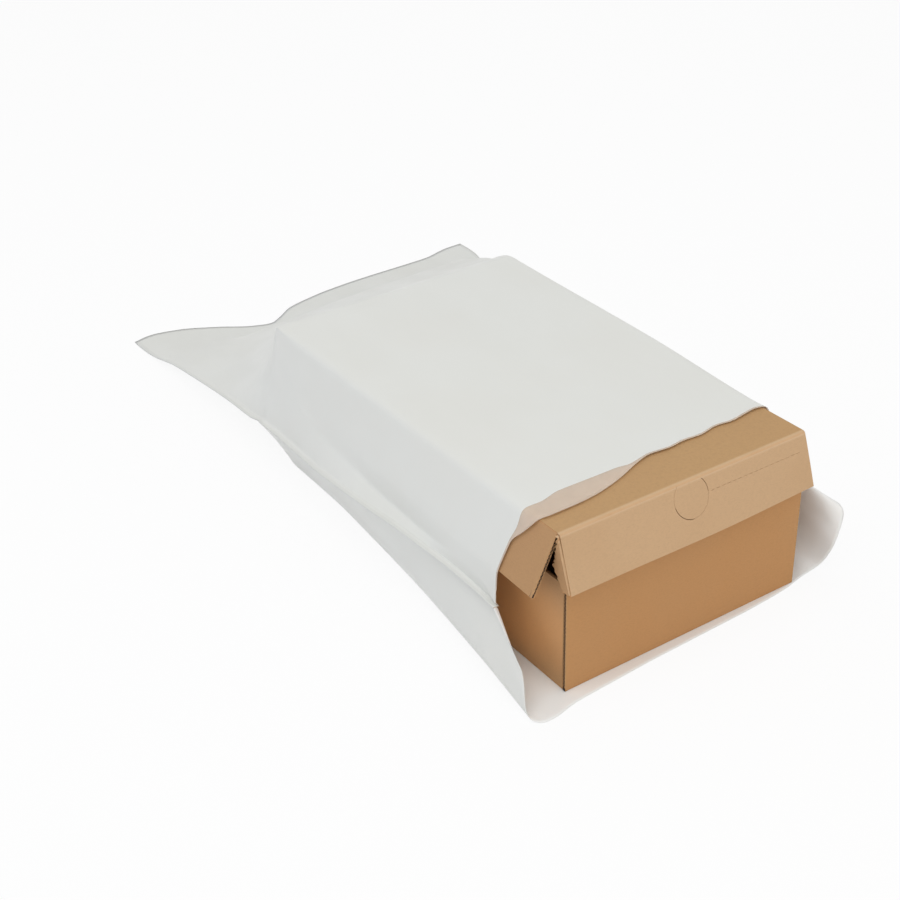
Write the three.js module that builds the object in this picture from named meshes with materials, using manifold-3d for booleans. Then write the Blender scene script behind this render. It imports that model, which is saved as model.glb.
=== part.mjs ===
// Plastic mailing bag with the corrugated carton it is being slid over.
// Millimetres, +Z up. The bag lies on its back layer: its mouth faces -Y, its closed end +Y.
// Inside this file the carton's lower front left corner is x = 0, y = 0. The group is then
// shifted so that its origin is the middle of the whole object's underside.
import * as THREE from "three";
import { mergeVertices } from "three/addons/utils/BufferGeometryUtils.js";
import Module from "manifold-3d";

const wasm = await Module();
wasm.setup();

// Driving dimensions: the carton
const carton_width = 254;
const carton_depth = 440;
const carton_height = 150;
const board = 3;
const front_wall_drop = 24;
const lid_wall_gap = 0.6;
const corner_slot = 0.8;
const corner_tab_length = 70;
const lid_overhang = 3;
const lid_crease_setback = 6;

// Driving dimensions: the flaps of the carton's lid
const side_flap_drop = 57;
const left_flare_front = 26;
const left_flare_back = 7;
const right_flare = 12;
const front_flap_drop = 51;
const front_flap_flare = 19;
const front_flap_edge_trim = 2;
const return_tab_width = 9;
const thumb_tab_diameter = 39;
const thumb_tab_place = 0.49;
const slit_width = 0.8;
const perforation_pitch = 9;
const perforation_cut = 5.5;
const perforation_drop = 16;

// Driving dimensions: the bag
const bag_width = 457;
const bag_length = 762;
const film_wall = 1;
const seal_margin = 6;
const mouth_setback = 55;
const closed_end_pull_in = 44;
const closed_end_overhang = 18;

// Driving dimensions: the closure on the bag's flap
const strip_width = 25;
const strip_thickness = 0.3;
const liner_width = 32;
const liner_thickness = 0.3;
const strip_setback = 6;
const closure_end_margin = 14;

// Clearances between pieces that touch, and between the bag's two layers at their welds
const seat_gap = 0.3;
const film_clearance = 1;
const weld_gap = 0.5;

// Values worked out from the driving dimensions
const strip_bottom = film_wall + seat_gap;
const liner_bottom = strip_bottom + strip_thickness + seat_gap;
const carton_bottom = liner_bottom + liner_thickness + seat_gap;
const lid_top = carton_bottom + carton_height;
const wall_top = lid_top - board - lid_wall_gap;
const front_wall_top = lid_top - front_wall_drop;
const film_over_lid = lid_top + film_clearance + film_wall / 2;
const tail_slope = bag_length - (carton_depth - mouth_setback);
const tail_run = Math.sqrt(tail_slope ** 2 - lid_top ** 2);
const closed_end_y = carton_depth + tail_run;
const left_tip_x = -closed_end_overhang;
const right_tip_x = left_tip_x + bag_width + 5;

const kraft = { color: 0xb9906a, roughness: 0.85, metalness: 0 };
const film_white = { color: 0xdcddd8, roughness: 0.45, metalness: 0 };
const glue_clear = { color: 0xd9d2b8, roughness: 0.35, metalness: 0 };
const liner_white = { color: 0xe9e9e4, roughness: 0.3, metalness: 0 };

const radians = THREE.MathUtils.degToRad;
const mix = THREE.MathUtils.lerp;

// A closed three.js geometry as a solid that can be joined. Triangles that shrank to a line are dropped.
function solid(geometry) {
  const bare = geometry.index ? geometry.toNonIndexed() : geometry.clone();
  bare.deleteAttribute("normal");
  bare.deleteAttribute("uv");
  const merged = mergeVertices(bare, 1e-4);
  const corners = merged.index.array;
  const kept = [];
  for (let start = 0; start < corners.length; start += 3) {
    const [a, b, c] = corners.slice(start, start + 3);
    if (a !== b && b !== c && c !== a) kept.push(a, b, c);
  }
  return new wasm.Manifold(new wasm.Mesh({
    numProp: 3,
    vertProperties: new Float32Array(merged.attributes.position.array),
    triVerts: new Uint32Array(kept),
  }));
}

function joined(solids) {
  return solids.reduce((sum, next) => sum.add(next));
}

function mesh_of(body, name, finish) {
  const { vertProperties, triVerts } = body.getMesh();
  const geometry = new THREE.BufferGeometry();
  geometry.setAttribute("position", new THREE.BufferAttribute(vertProperties, 3));
  geometry.setIndex(new THREE.BufferAttribute(triVerts, 1));
  geometry.computeVertexNormals();
  const mesh = new THREE.Mesh(geometry, new THREE.MeshStandardMaterial(finish));
  mesh.name = name;
  return mesh;
}

// A box between two corners
function block(low, high) {
  const size = high.map((value, axis) => value - low[axis]);
  const middle = high.map((value, axis) => (value + low[axis]) / 2);
  return solid(new THREE.BoxGeometry(...size).translate(...middle));
}

// The direction that a sheet on a grid of points faces, at each of its points. Rows run
// along the bag, and each row runs across it, so that a flat sheet faces up.
function facings(rows) {
  const last_row = rows.length - 1;
  const last_column = rows[0].length - 1;
  return rows.map((row, r) => row.map((_, c) => {
    const across = row[Math.min(c + 1, last_column)].clone().sub(row[Math.max(c - 1, 0)]);
    const along = rows[Math.min(r + 1, last_row)][c].clone().sub(rows[Math.max(r - 1, 0)][c]);
    return across.cross(along).normalize();
  }));
}

function offset_rows(rows, distance) {
  const faces = facings(rows);
  return rows.map((row, r) => row.map((point, c) => point.clone().addScaledVector(faces[r][c], distance)));
}

// Collects corners and faces of one closed surface. Grids of corners are held as rows of numbers.
function surface() {
  const corners = [];
  const faces = [];
  const polygon = (...ring) => {
    for (let corner = 1; corner + 1 < ring.length; corner++) faces.push(ring[0], ring[corner], ring[corner + 1]);
  };
  const strip = (upper, lower) => {
    for (let place = 0; place + 1 < upper.length; place++) {
      polygon(upper[place], upper[place + 1], lower[place + 1], lower[place]);
    }
  };
  return {
    polygon,
    strip,
    add_point: (point) => corners.push(point.x, point.y, point.z) / 3 - 1,
    add_rows(rows) {
      return rows.map((row) => row.map((point) => this.add_point(point)));
    },
    face_up: (grid) => grid.slice(1).forEach((row, r) => strip(row.toReversed(), grid[r].toReversed())),
    face_down: (grid) => grid.slice(1).forEach((row, r) => strip(row, grid[r])),
    solid() {
      const geometry = new THREE.BufferGeometry();
      geometry.setAttribute("position", new THREE.BufferAttribute(new Float32Array(corners), 3));
      geometry.setIndex(faces);
      return solid(geometry);
    },
  };
}

// A plate of even thickness on a grid of points, half of it on each side
function sheet_solid(rows, thickness) {
  const shape = surface();
  const upper = shape.add_rows(offset_rows(rows, thickness / 2));
  const lower = shape.add_rows(offset_rows(rows, -thickness / 2));
  const column = (grid, place) => grid.map((row) => row.at(place));
  shape.face_up(upper);
  shape.face_down(lower);
  shape.strip(upper[0].toReversed(), lower[0].toReversed());
  shape.strip(upper.at(-1), lower.at(-1));
  shape.strip(column(upper, 0), column(lower, 0));
  shape.strip(column(upper, -1).toReversed(), column(lower, -1).toReversed());
  return shape.solid();
}

// A line along the bag through points [y, x, z], read at any y between its ends
function rail(knots) {
  return (y) => {
    const last = knots.length - 1;
    let place = knots.findIndex((knot, index) => index < last && y <= knots[index + 1][0]);
    if (place < 0) place = last - 1;
    const [from, to] = [knots[place], knots[place + 1]];
    const share = THREE.MathUtils.clamp((y - from[0]) / (to[0] - from[0]), 0, 1);
    return new THREE.Vector3(mix(from[1], to[1], share), y, mix(from[2], to[2], share));
  };
}

// Points from one place to another, the last one left out
function between(from, to, count) {
  return Array.from({ length: count }, (_, step) => from.clone().lerp(to, step / count));
}

// One row of a sheet through a list of places, with a count of steps after each but the last
function row_through(places, steps) {
  const row = places.slice(0, -1).flatMap((place, index) => between(place, places[index + 1], steps[index]));
  row.push(places[places.length - 1].clone());
  return row;
}

// The carton, folded from one corrugated blank
function flare_at(y) {
  return radians(mix(left_flare_front, left_flare_back, y / carton_depth));
}

function carton_tray() {
  const side_front = board + corner_slot;
  const side_back = carton_depth - side_front;
  const floor = block([0, 0, carton_bottom], [carton_width, carton_depth, carton_bottom + board]);
  const front = block([0, 0, carton_bottom], [carton_width, board, front_wall_top]);
  const back = block([0, carton_depth - board, carton_bottom], [carton_width, carton_depth, lid_top]);
  const sides = [0, carton_width - board].map((x) =>
    block([x, side_front, carton_bottom], [x + board, side_back, wall_top]));
  const tabs = [0, carton_width - corner_tab_length].flatMap((x) =>
    [side_front, side_back - board].map((y) =>
      block([x, y, carton_bottom], [x + corner_tab_length, y + board, front_wall_top - board])));
  return [floor, front, back, ...sides, ...tabs];
}

function lid_panel() {
  return block(
    [-lid_overhang, lid_crease_setback, lid_top - board],
    [carton_width + lid_overhang, carton_depth, lid_top]);
}

// A side flap hangs from the lid's edge and leans outward, more at the front than at the back
function lid_side_flap(hinge_x, outward, flare, front_y) {
  const rows = [];
  const steps = 10;
  const back_y = carton_depth - 2 * board;
  for (let step = 0; step <= steps; step++) {
    const row = [];
    const y = mix(front_y, back_y, step / steps);
    const lean = flare(y);
    for (const reach of [0, side_flap_drop]) {
      const outer = new THREE.Vector3(
        hinge_x + outward * Math.sin(lean) * reach, y, lid_top - Math.cos(lean) * reach);
      const inward = new THREE.Vector3(-outward * Math.cos(lean), 0, -Math.sin(lean));
      row.push(outer.addScaledVector(inward, board / 2));
    }
    rows.push(outward < 0 ? row.reverse() : row);
  }
  return sheet_solid(rows, board);
}

// The front flap and the slits through it are drawn flat, x across and y down from the crease
function slit(x, y) {
  return new THREE.Shape([
    new THREE.Vector2(x, y - slit_width / 2),
    new THREE.Vector2(x + perforation_cut, y - slit_width / 2),
    new THREE.Vector2(x + perforation_cut, y + slit_width / 2),
    new THREE.Vector2(x, y + slit_width / 2),
  ]);
}

function arc_slit(centre, radius, start, end) {
  const steps = 10;
  const rim = (reach) => Array.from({ length: steps + 1 }, (_, step) => {
    const angle = radians(mix(start, end, step / steps));
    return new THREE.Vector2(centre.x + reach * Math.cos(angle), centre.y + reach * Math.sin(angle));
  });
  return new THREE.Shape([...rim(radius + slit_width / 2), ...rim(radius - slit_width / 2).reverse()]);
}

// A flat drawing as a plate that stands as the front flap does, with its outer face on the drawing
function front_flap_plate(outline, past) {
  const plate = new THREE.ExtrudeGeometry(outline, { depth: board + 2 * past, bevelEnabled: false });
  plate.translate(0, 0, -board - past);
  plate.rotateX(radians(90 - front_flap_flare));
  plate.translate(0, lid_crease_setback, lid_top);
  return solid(plate);
}

function lid_front_flap() {
  const left = -lid_overhang;
  const right = carton_width + lid_overhang;
  const outline = new THREE.Shape([
    new THREE.Vector2(left - front_flap_edge_trim, -front_flap_drop),
    new THREE.Vector2(right + front_flap_edge_trim, -front_flap_drop),
    new THREE.Vector2(right, 0),
    new THREE.Vector2(left, 0),
  ]);
  const radius = thumb_tab_diameter / 2;
  const thumb = new THREE.Vector2(carton_width * thumb_tab_place, -radius - board);
  const cuts = [arc_slit(thumb, radius, -80, 60), arc_slit(thumb, radius, 120, 255)];
  const first = thumb.x + radius + perforation_pitch;
  for (let x = first; x + perforation_cut < right - board; x += perforation_pitch) {
    cuts.push(slit(x, -perforation_drop));
  }
  return cuts.reduce((flap, cut) => flap.subtract(front_flap_plate(cut, 1)), front_flap_plate(outline, 0));
}

// The torn glue tab folded back at the front flap's left end
function torn_return_tab() {
  const lean = Math.tan(radians(front_flap_flare));
  const bottom = front_flap_drop * Math.cos(radians(front_flap_flare)) - 1;
  const front = (down) => lid_crease_setback - lean * down + 1;
  const width = return_tab_width;
  const edge = [
    [front(1), 1], [front(bottom), bottom], [front(bottom) + width * 0.8, bottom - 2],
    [front(bottom) + width * 1.5, bottom * 0.86], [front(0) + width * 0.1, bottom * 0.58],
    [front(0) + width * 0.7, bottom * 0.42], [front(0) + width * 0.45, bottom * 0.2], [front(0) + width * 0.2, 1],
  ];
  const outline = new THREE.Shape(edge.map(([y, down]) => new THREE.Vector2(y, -down)));
  const tab = new THREE.ExtrudeGeometry(outline, { depth: board, bevelEnabled: false });
  tab.rotateX(Math.PI / 2);
  tab.rotateZ(Math.PI / 2);
  tab.translate(-lid_overhang, 0, lid_top);
  return solid(tab);
}

function carton() {
  const left_flap = lid_side_flap(-lid_overhang, -1, flare_at, lid_crease_setback + board);
  const right_flap = lid_side_flap(
    carton_width + lid_overhang, 1, () => radians(right_flare), lid_crease_setback - board);
  return joined([
    ...carton_tray(), lid_panel(), left_flap, right_flap, lid_front_flap(), torn_return_tab(),
  ]);
}

// The bag's edges and folds, as lines along its length
const mouth_y = mouth_setback;
const mid_y = carton_depth * 0.5;
const back_y = carton_depth + 4;
const tail_y = (share) => mix(carton_depth, closed_end_y, share);
const notch_x = left_tip_x + 152;
const flap_reach = (y) => lid_overhang + Math.sin(flare_at(y)) * side_flap_drop + film_clearance + film_wall;
const flap_edge_z = (y) => lid_top - Math.cos(flare_at(y)) * side_flap_drop;
const floor_z = film_wall / 2;
const layer_rise = film_wall + weld_gap;
const seam_floor_z = floor_z + layer_rise / 2;
const end_weld_z = floor_z + layer_rise;

const left_seam = rail([
  [mouth_y, -31, lid_top * 0.42],
  [carton_depth * 0.18, -35, lid_top * 0.47],
  [carton_depth * 0.34, -39, lid_top * 0.49],
  [mid_y, -39, lid_top * 0.47],
  [carton_depth * 0.62, -37, lid_top * 0.41],
  [carton_depth * 0.8, -34, lid_top * 0.37],
  [carton_depth * 0.9, -31, lid_top * 0.345],
  [back_y, -30, lid_top * 0.34],
  [tail_y(0.12), -29, lid_top * 0.31],
  [tail_y(0.35), -25, lid_top * 0.24],
  [tail_y(0.75), -17, lid_top * 0.085],
  [closed_end_y, left_tip_x, seam_floor_z],
]);
const left_valley = rail([
  [mouth_y, -25, lid_top * 0.44],
  [carton_depth * 0.34, -22, lid_top * 0.45],
  [mid_y, -18, lid_top * 0.47],
  [carton_depth * 0.74, -14, lid_top * 0.54],
  [back_y, -16, lid_top * 0.55],
  [tail_y(0.12), -13, lid_top * 0.44],
  [tail_y(0.3), 0, lid_top * 0.33],
  [tail_y(0.6), 18, lid_top * 0.15],
  [closed_end_y, left_tip_x + 45, end_weld_z],
]);
const left_flap_edge = rail([
  [mouth_y, -flap_reach(mouth_y), flap_edge_z(mouth_y)],
  [mid_y, -flap_reach(mid_y), flap_edge_z(mid_y)],
  [back_y, -flap_reach(carton_depth), flap_edge_z(carton_depth)],
  [tail_y(0.12), 2, lid_top * 0.63],
  [tail_y(0.3), 28, lid_top * 0.44],
  [tail_y(0.6), 58, lid_top * 0.2],
  [closed_end_y, left_tip_x + 95, end_weld_z],
]);
const left_ridge = rail([
  [mouth_y, -lid_overhang - film_clearance - film_wall, film_over_lid],
  [back_y, -lid_overhang - film_clearance - film_wall, film_over_lid],
  [tail_y(0.3), 55, lid_top * 0.6],
  [tail_y(0.6), 98, lid_top * 0.29],
  [closed_end_y, notch_x, end_weld_z],
]);
const right_ridge = rail([
  [mouth_y, carton_width + lid_overhang + film_clearance + film_wall, film_over_lid],
  [mid_y, carton_width + 14, film_over_lid],
  [back_y, carton_width + 18, film_over_lid],
  [tail_y(0.3), carton_width + 68, lid_top * 0.66],
  [tail_y(0.6), carton_width + 120, lid_top * 0.34],
  [closed_end_y, right_tip_x - 75, end_weld_z],
]);
const right_bulge = rail([
  [mouth_y, carton_width + 17, lid_top * 0.84],
  [mid_y, carton_width + 28, lid_top * 0.9],
  [back_y, carton_width + 36, lid_top * 0.91],
  [tail_y(0.3), carton_width + 84, lid_top * 0.57],
  [tail_y(0.6), carton_width + 136, lid_top * 0.25],
  [closed_end_y, right_tip_x - 35, end_weld_z],
]);
const right_seam = rail([
  [mouth_y, carton_width + 24, lid_top * 0.64],
  [carton_depth * 0.3, carton_width + 32, lid_top * 0.7],
  [mid_y, carton_width + 38, lid_top * 0.75],
  [back_y, carton_width + 50, lid_top * 0.8],
  [tail_y(0.3), carton_width + 92, lid_top * 0.5],
  [tail_y(0.6), carton_width + 142, lid_top * 0.22],
  [tail_y(0.85), carton_width + 174, film_wall * 4],
  [closed_end_y, right_tip_x, seam_floor_z],
]);
const left_floor_fold = rail([
  [mouth_y, -34, floor_z],
  [mid_y, -15, floor_z],
  [back_y, -2, floor_z],
  [tail_y(0.35), 22, floor_z],
  [closed_end_y, left_tip_x + 20, floor_z],
]);
const left_floor_side = rail([
  [mouth_y, -42, lid_top * 0.13],
  [mid_y, -28, lid_top * 0.2],
  [back_y, -6, film_wall * 12],
  [tail_y(0.35), 6, film_wall * 7],
  [closed_end_y, left_tip_x + 14, floor_z],
]);
const right_floor_fold = rail([
  [mouth_y, carton_width + 28, floor_z],
  [mid_y, carton_width + 30, floor_z],
  [back_y, carton_width + 34, floor_z],
  [tail_y(0.6), carton_width + 112, floor_z],
  [closed_end_y, right_tip_x - 20, floor_z],
]);
const right_floor_side = rail([
  [mouth_y, carton_width + 38, lid_top * 0.3],
  [mid_y, carton_width + 40, lid_top * 0.36],
  [back_y, carton_width + 50, lid_top * 0.4],
  [tail_y(0.6), carton_width + 138, lid_top * 0.12],
  [closed_end_y, right_tip_x - 14, floor_z],
]);

// The closed end isn't straight: a pleat pulls it toward the carton at the notch
function pulled_in(point) {
  const reach = THREE.MathUtils.clamp((point.y - tail_y(0.6)) / (closed_end_y - tail_y(0.6)), 0, 1);
  const aside = point.x < notch_x ? (notch_x - point.x) / 150 : (point.x - notch_x) / 95;
  const share = Math.max(0, 1 - aside);
  point.y -= closed_end_pull_in * reach * share * share * (3 - 2 * share);
  return point;
}

function beside(point, step) {
  return new THREE.Vector3(point.x + step, point.y, point.z);
}

const top_steps = [1, 1, 2, 2, 8, 2, 2, 1];
const back_steps = [1, 2, 2, 10, 2, 1, 1];

// Toward the closed end the places of both layers draw level, so that they meet point to point
function drawn_level(row, y, end_z) {
  const share = THREE.MathUtils.clamp((y - tail_y(0.75)) / (closed_end_y - seal_margin - tail_y(0.75)), 0, 1);
  const inner = row.length - 3;
  return row.map((point, column) => {
    const edge = column === 0 ? 0 : seal_margin + (bag_width - 2 * seal_margin) * (column - 1) / inner;
    const x = left_tip_x + (column === row.length - 1 ? right_tip_x - left_tip_x : edge);
    return new THREE.Vector3(mix(point.x, x, share), y, mix(point.z, end_z, share));
  });
}

function top_row(y) {
  const rise = layer_rise / 2;
  const left = left_seam(y);
  const right = right_seam(y);
  const row = row_through([
    left, beside(left, seal_margin), left_valley(y), left_flap_edge(y), left_ridge(y),
    right_ridge(y), right_bulge(y), beside(right, -seal_margin), right,
  ], top_steps);
  for (const column of [0, 1, row.length - 2, row.length - 1]) row[column].z += rise;
  return drawn_level(row, y, end_weld_z).map(pulled_in);
}

function back_row(y) {
  const rise = layer_rise / 2;
  const left = left_seam(y);
  const right = right_seam(y);
  const row = row_through([
    left, beside(left, seal_margin), left_floor_side(y), left_floor_fold(y),
    right_floor_fold(y), right_floor_side(y), beside(right, -seal_margin), right,
  ], back_steps);
  for (const column of [0, 1, row.length - 2, row.length - 1]) row[column].z -= rise;
  return drawn_level(row, y, floor_z).map(pulled_in);
}

// The back layer runs on past the mouth as the flap. Its front edge is given place by place,
// left to right, for the same columns as a back row.
function flap_edge_row() {
  const right = carton_width;
  const corner = (x, y, z) => new THREE.Vector3(x, y, z);
  return row_through([
    corner(-36, 10, 33), corner(-38, 5, 27), corner(-44, -4, 12), corner(-34, -20, floor_z),
    corner(right + 30, 2, floor_z), corner(right + 37, 0, 14),
    corner(right + 49, -6, 52), corner(right + 51, -5, 61),
  ], back_steps);
}

function row_between(near, far, share) {
  return near.map((point, column) => point.clone().lerp(far[column], share));
}

function station_list() {
  const on_carton = [0, 0.12, 0.28, 0.45, 0.6, 0.78, 0.92, 1];
  const on_tail = [0.08, 0.2, 0.3, 0.42, 0.52, 0.6, 0.7, 0.8, 0.9];
  return [
    ...on_carton.map((share) => mix(mouth_y, back_y, share)),
    ...on_tail.map((share) => tail_y(share)),
    closed_end_y - seal_margin, closed_end_y,
  ];
}

// The bag is one closed surface: the outside of both layers, the welds down both sides,
// the closed end, the mouth's rim, the hollow's own faces and the flap.
function mailing_bag() {
  const half = film_wall / 2;
  const stations = station_list();
  const top = stations.map(top_row);
  const back = stations.map(back_row);
  const flap_edge = flap_edge_row();
  const flap = [1, 0.75, 0.5, 0.25].map((share) => row_between(back[0], flap_edge, share));
  const flap_rows = flap.length;
  const whole_back = [...flap, ...back];
  const shape = surface();
  const hollow = (rows) => rows.slice(0, -1).map((row) => row.slice(1, -1));
  const back_inside = offset_rows(whole_back, half);
  const back_outside = offset_rows(whole_back, -half);

  const outer_top = shape.add_rows(offset_rows(top, half));
  const outer_back = shape.add_rows(back_outside);
  const inner_top = shape.add_rows(hollow(offset_rows(top, -half)));
  const inner_back = shape.add_rows(hollow(back_inside.slice(flap_rows)));
  const flap_inside = shape.add_rows(back_inside.slice(0, flap_rows));
  const [left_lip, right_lip] = shape.add_rows([[back_inside[flap_rows][0], back_inside[flap_rows].at(-1)]])[0];
  flap_inside.push([left_lip, ...inner_back[0], right_lip]);

  shape.face_up(outer_top);
  shape.face_down(outer_back);
  shape.face_down(inner_top);
  shape.face_up(inner_back);
  shape.face_up(flap_inside);

  const body_back = outer_back.slice(flap_rows);
  const column = (grid, place) => grid.map((row) => row.at(place));
  shape.strip(column(outer_top, 0).slice(1), column(body_back, 0).slice(1));
  shape.strip(column(outer_top, -1).slice(1).toReversed(), column(body_back, -1).slice(1).toReversed());
  shape.polygon(outer_top[0][0], outer_top[1][0], body_back[1][0], body_back[0][0], left_lip);
  shape.polygon(outer_top[0].at(-1), right_lip, body_back[0].at(-1), body_back[1].at(-1), outer_top[1].at(-1));
  shape.strip(column(inner_top, 0).toReversed(), column(inner_back, 0).toReversed());
  shape.strip(column(inner_top, -1), column(inner_back, -1));
  shape.strip(outer_top.at(-1), outer_back.at(-1));
  shape.strip(inner_top.at(-1).toReversed(), inner_back.at(-1).toReversed());

  shape.strip(outer_top[0].slice(1, -1).toReversed(), inner_top[0].toReversed());
  shape.polygon(left_lip, inner_back[0][0], inner_top[0][0], outer_top[0][1], outer_top[0][0]);
  shape.polygon(
    inner_back[0].at(-1), right_lip, outer_top[0].at(-1), outer_top[0].at(-2), inner_top[0].at(-1));

  const flap_outside = outer_back.slice(0, flap_rows + 1);
  shape.strip(flap_inside[0].toReversed(), flap_outside[0].toReversed());
  shape.strip(column(flap_inside, 0), column(flap_outside, 0));
  shape.strip(column(flap_inside, -1).toReversed(), column(flap_outside, -1).toReversed());
  return shape.solid();
}

// The adhesive strip and its release liner cross the flap just behind its edge
function closure_band(width, bottom, thickness) {
  const middle_y = strip_setback + liner_width / 2;
  return block(
    [closure_end_margin, middle_y - width / 2, bottom],
    [carton_width - closure_end_margin, middle_y + width / 2, bottom + thickness]);
}

const pieces = new THREE.Group();
pieces.add(mesh_of(mailing_bag(), "mailing_bag", film_white));
pieces.add(mesh_of(closure_band(strip_width, strip_bottom, strip_thickness), "adhesive_strip", glue_clear));
pieces.add(mesh_of(closure_band(liner_width, liner_bottom, liner_thickness), "release_liner", liner_white));
pieces.add(mesh_of(carton(), "carton", kraft));

const extent = new THREE.Box3().setFromObject(pieces);
const middle = extent.getCenter(new THREE.Vector3());
pieces.position.set(-middle.x, -middle.y, -extent.min.z);

const object = new THREE.Group();
object.add(pieces);

export default object;
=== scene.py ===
import math

import bmesh
import bpy
import numpy as np
from bpy.props import FloatProperty, FloatVectorProperty, PointerProperty
from mathutils import Matrix, Vector


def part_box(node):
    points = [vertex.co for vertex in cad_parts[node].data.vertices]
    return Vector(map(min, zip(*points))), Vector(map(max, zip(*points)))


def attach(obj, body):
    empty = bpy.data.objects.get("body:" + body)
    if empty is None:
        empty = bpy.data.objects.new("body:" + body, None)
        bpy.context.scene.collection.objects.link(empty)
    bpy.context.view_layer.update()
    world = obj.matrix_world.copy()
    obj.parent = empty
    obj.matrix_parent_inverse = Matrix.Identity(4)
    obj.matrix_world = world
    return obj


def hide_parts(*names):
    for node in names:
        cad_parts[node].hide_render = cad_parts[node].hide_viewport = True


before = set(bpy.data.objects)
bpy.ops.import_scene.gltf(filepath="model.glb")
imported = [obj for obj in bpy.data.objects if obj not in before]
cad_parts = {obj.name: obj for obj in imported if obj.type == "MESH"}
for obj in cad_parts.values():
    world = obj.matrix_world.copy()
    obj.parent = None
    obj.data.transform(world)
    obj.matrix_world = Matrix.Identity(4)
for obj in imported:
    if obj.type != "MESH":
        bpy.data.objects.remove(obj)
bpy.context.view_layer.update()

bl_info = {
    "name": "Plastic mailing bag",
    "version": (1, 0, 0),
    "blender": (4, 5, 0),
    "location": "3D View > Sidebar > Mailing Bag",
    "description": "A white film mailing bag drawn over a corrugated carton",
    "category": "Object",
}

# Lengths in the functions below are millimetres in the carton's own frame: x = 0 at its left
# wall, y = 0 at its front wall, z = 0 at the floor. place() turns them into the row's metres.
MM = 0.001
CARTON_LOW, CARTON_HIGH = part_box("carton")
STRIP_LOW, STRIP_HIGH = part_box("adhesive_strip")
CARTON_WIDTH = 254
CARTON_DEPTH = 440
CARTON_BASE = CARTON_LOW.z / MM
LID_TOP = CARTON_HIGH.z / MM
ORIGIN = Vector((
    (STRIP_LOW.x + STRIP_HIGH.x) / 2 - CARTON_WIDTH / 2 * MM,
    CARTON_HIGH.y - CARTON_DEPTH * MM,
    0,
))

# The carton's board, creases and flaps
BOARD = 3
FRONT_WALL_TOP = LID_TOP - 24
SIDE_WALL_TOP = LID_TOP - 48
BACK_WALL_TOP = LID_TOP - 1
WALL_FOOT = 0.75
FRONT_WALL_BOW = 0.7
FLOOR_INSET = 0.4
CORNER_SLOT = 0.8
CORNER_TAB = 70
CORNER_TAB_INSET = 0.2
EDGE_ROUNDING = 0.4
BEVEL_ANGLE = math.radians(50)
SHARP_ANGLE = math.radians(30)
LID_OVERHANG = 3
LID_CREASE = 6
CREASE_RADIUS = 2.4
SIDE_FLAP_DROP = 57
SIDE_FLAP_ROOT = 5
SIDE_FLAP_TUCK = 0.5
SIDE_FLAP_RISE = 0.2
FRONT_FLAP_DROP = 51
FRONT_FLAP_FLARE = 19
FRONT_FLAP_SPREAD = 1.2

# Long waves across the front flap: [axis, size, pace, start]
FRONT_FLAP_WAVES = ((1, -1.6, 1.2, 0.4), (2, 0.8, 2.3, 0))

# How far each side flap leans out, in degrees at its front and at its back
LEFT_FLARES = (26, 7)
RIGHT_FLARES = (12, 12)

# The torn strip's widths by the distance down the flap, and its ragged waves: [size, pace, start]
TORN_WIDTHS = (
    (0, 6, 10, 18, 24, 31, 34, 38, 44, 50),
    (1, 2, 3.5, 7.5, 10.5, 15.5, 13.5, 11.5, 8.5, 7),
)
TORN_WAVES = ((0.8, 1.3, 0), (0.6, 2.9, 1), (0.4, 5.3, 0))
TORN_TAB_GAP = 0.6
TORN_TAB_TOP = 1.5
TORN_TAB_BOARD = 2.2
TORN_TAB_COLUMNS = (0, 0.34, 0.67, 1)
TORN_TAB_CURL = 0.5
TORN_TAB_CURL_RUN = 6

# The thumb tab's rim in arcs of [first degree, last degree, slit width, depth], two of them slits
CUT_THROUGH = BOARD + 3
SCORE_DEPTH = 0.3
THUMB_TAB_ARCS = (
    (-42, 2, 0.55, CUT_THROUGH), (93, 170, 0.55, CUT_THROUGH),
    (171, 231, 0.2, SCORE_DEPTH), (4, 92, 0.16, SCORE_DEPTH),
)
THUMB_TAB_DIAMETER = 36
THUMB_TAB_X = CARTON_WIDTH * 0.5
THUMB_TAB_DROP = 14.8
BLADE_STAND_OUT = 2

# The perforated line beside the thumb tab
PERFORATION_PITCH = 6
PERFORATION_CUT = 3.6
PERFORATION_SLIT = 0.3
PERFORATION_DROP = 16
PERFORATION_DEPTH = 0.5
PERFORATION_START = 3

# How finely the board is drawn
FRONT_WALL_STEPS = (40, 20)
LID_COLUMNS = 100
SIDE_FLAP_ROWS = 60
TORN_TAB_ROWS = 60
BEND_POINTS = 7
STRAIGHT_POINTS = (14, 12)
ARC_POINTS = 26

# The bag's film
BAG_WIDTH = 457
BAG_LENGTH = 762
WELD_WIDTH = 6
MOUTH_SETBACK = 55
FILM_ON_LID = LID_TOP + 0.9
FILM_OFF_FLAP = 2.4
FILM_UNDER_FLAP = 1
FLOOR_FILM = 0.35
WELD_RISE = 0.4
TAIL_RUN = math.sqrt((BAG_LENGTH - (CARTON_DEPTH - MOUTH_SETBACK)) ** 2 - LID_TOP ** 2)
CLOSED_END_Y = CARTON_DEPTH + TAIL_RUN
LEFT_TIP_X = -18
RIGHT_TIP_X = LEFT_TIP_X + BAG_WIDTH + 5
NOTCH_X = LEFT_TIP_X + 152

# The photograph's viewpoint
CAMERA_PLACE = (-616.0, -771.4, 824.7)
CAMERA_YAW = math.radians(33.524)
CAMERA_PITCH = math.radians(31.065)
CAMERA_ROLL = math.radians(-1.662)
FOCAL_PIXELS = 1565.4
IMAGE_PIXELS = 900
SENSOR_WIDTH = 36


def place(x, y, z):
    """A place in the carton's millimetres as a point in the row's metres."""
    return ORIGIN + Vector((x, y, z)) * MM


def smoothstep(low, high, value):
    share = np.clip((value - low) / (high - low), 0, 1)
    return share * share * (3 - 2 * share)


def mix(a, b, share):
    return a + (b - a) * share


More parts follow.
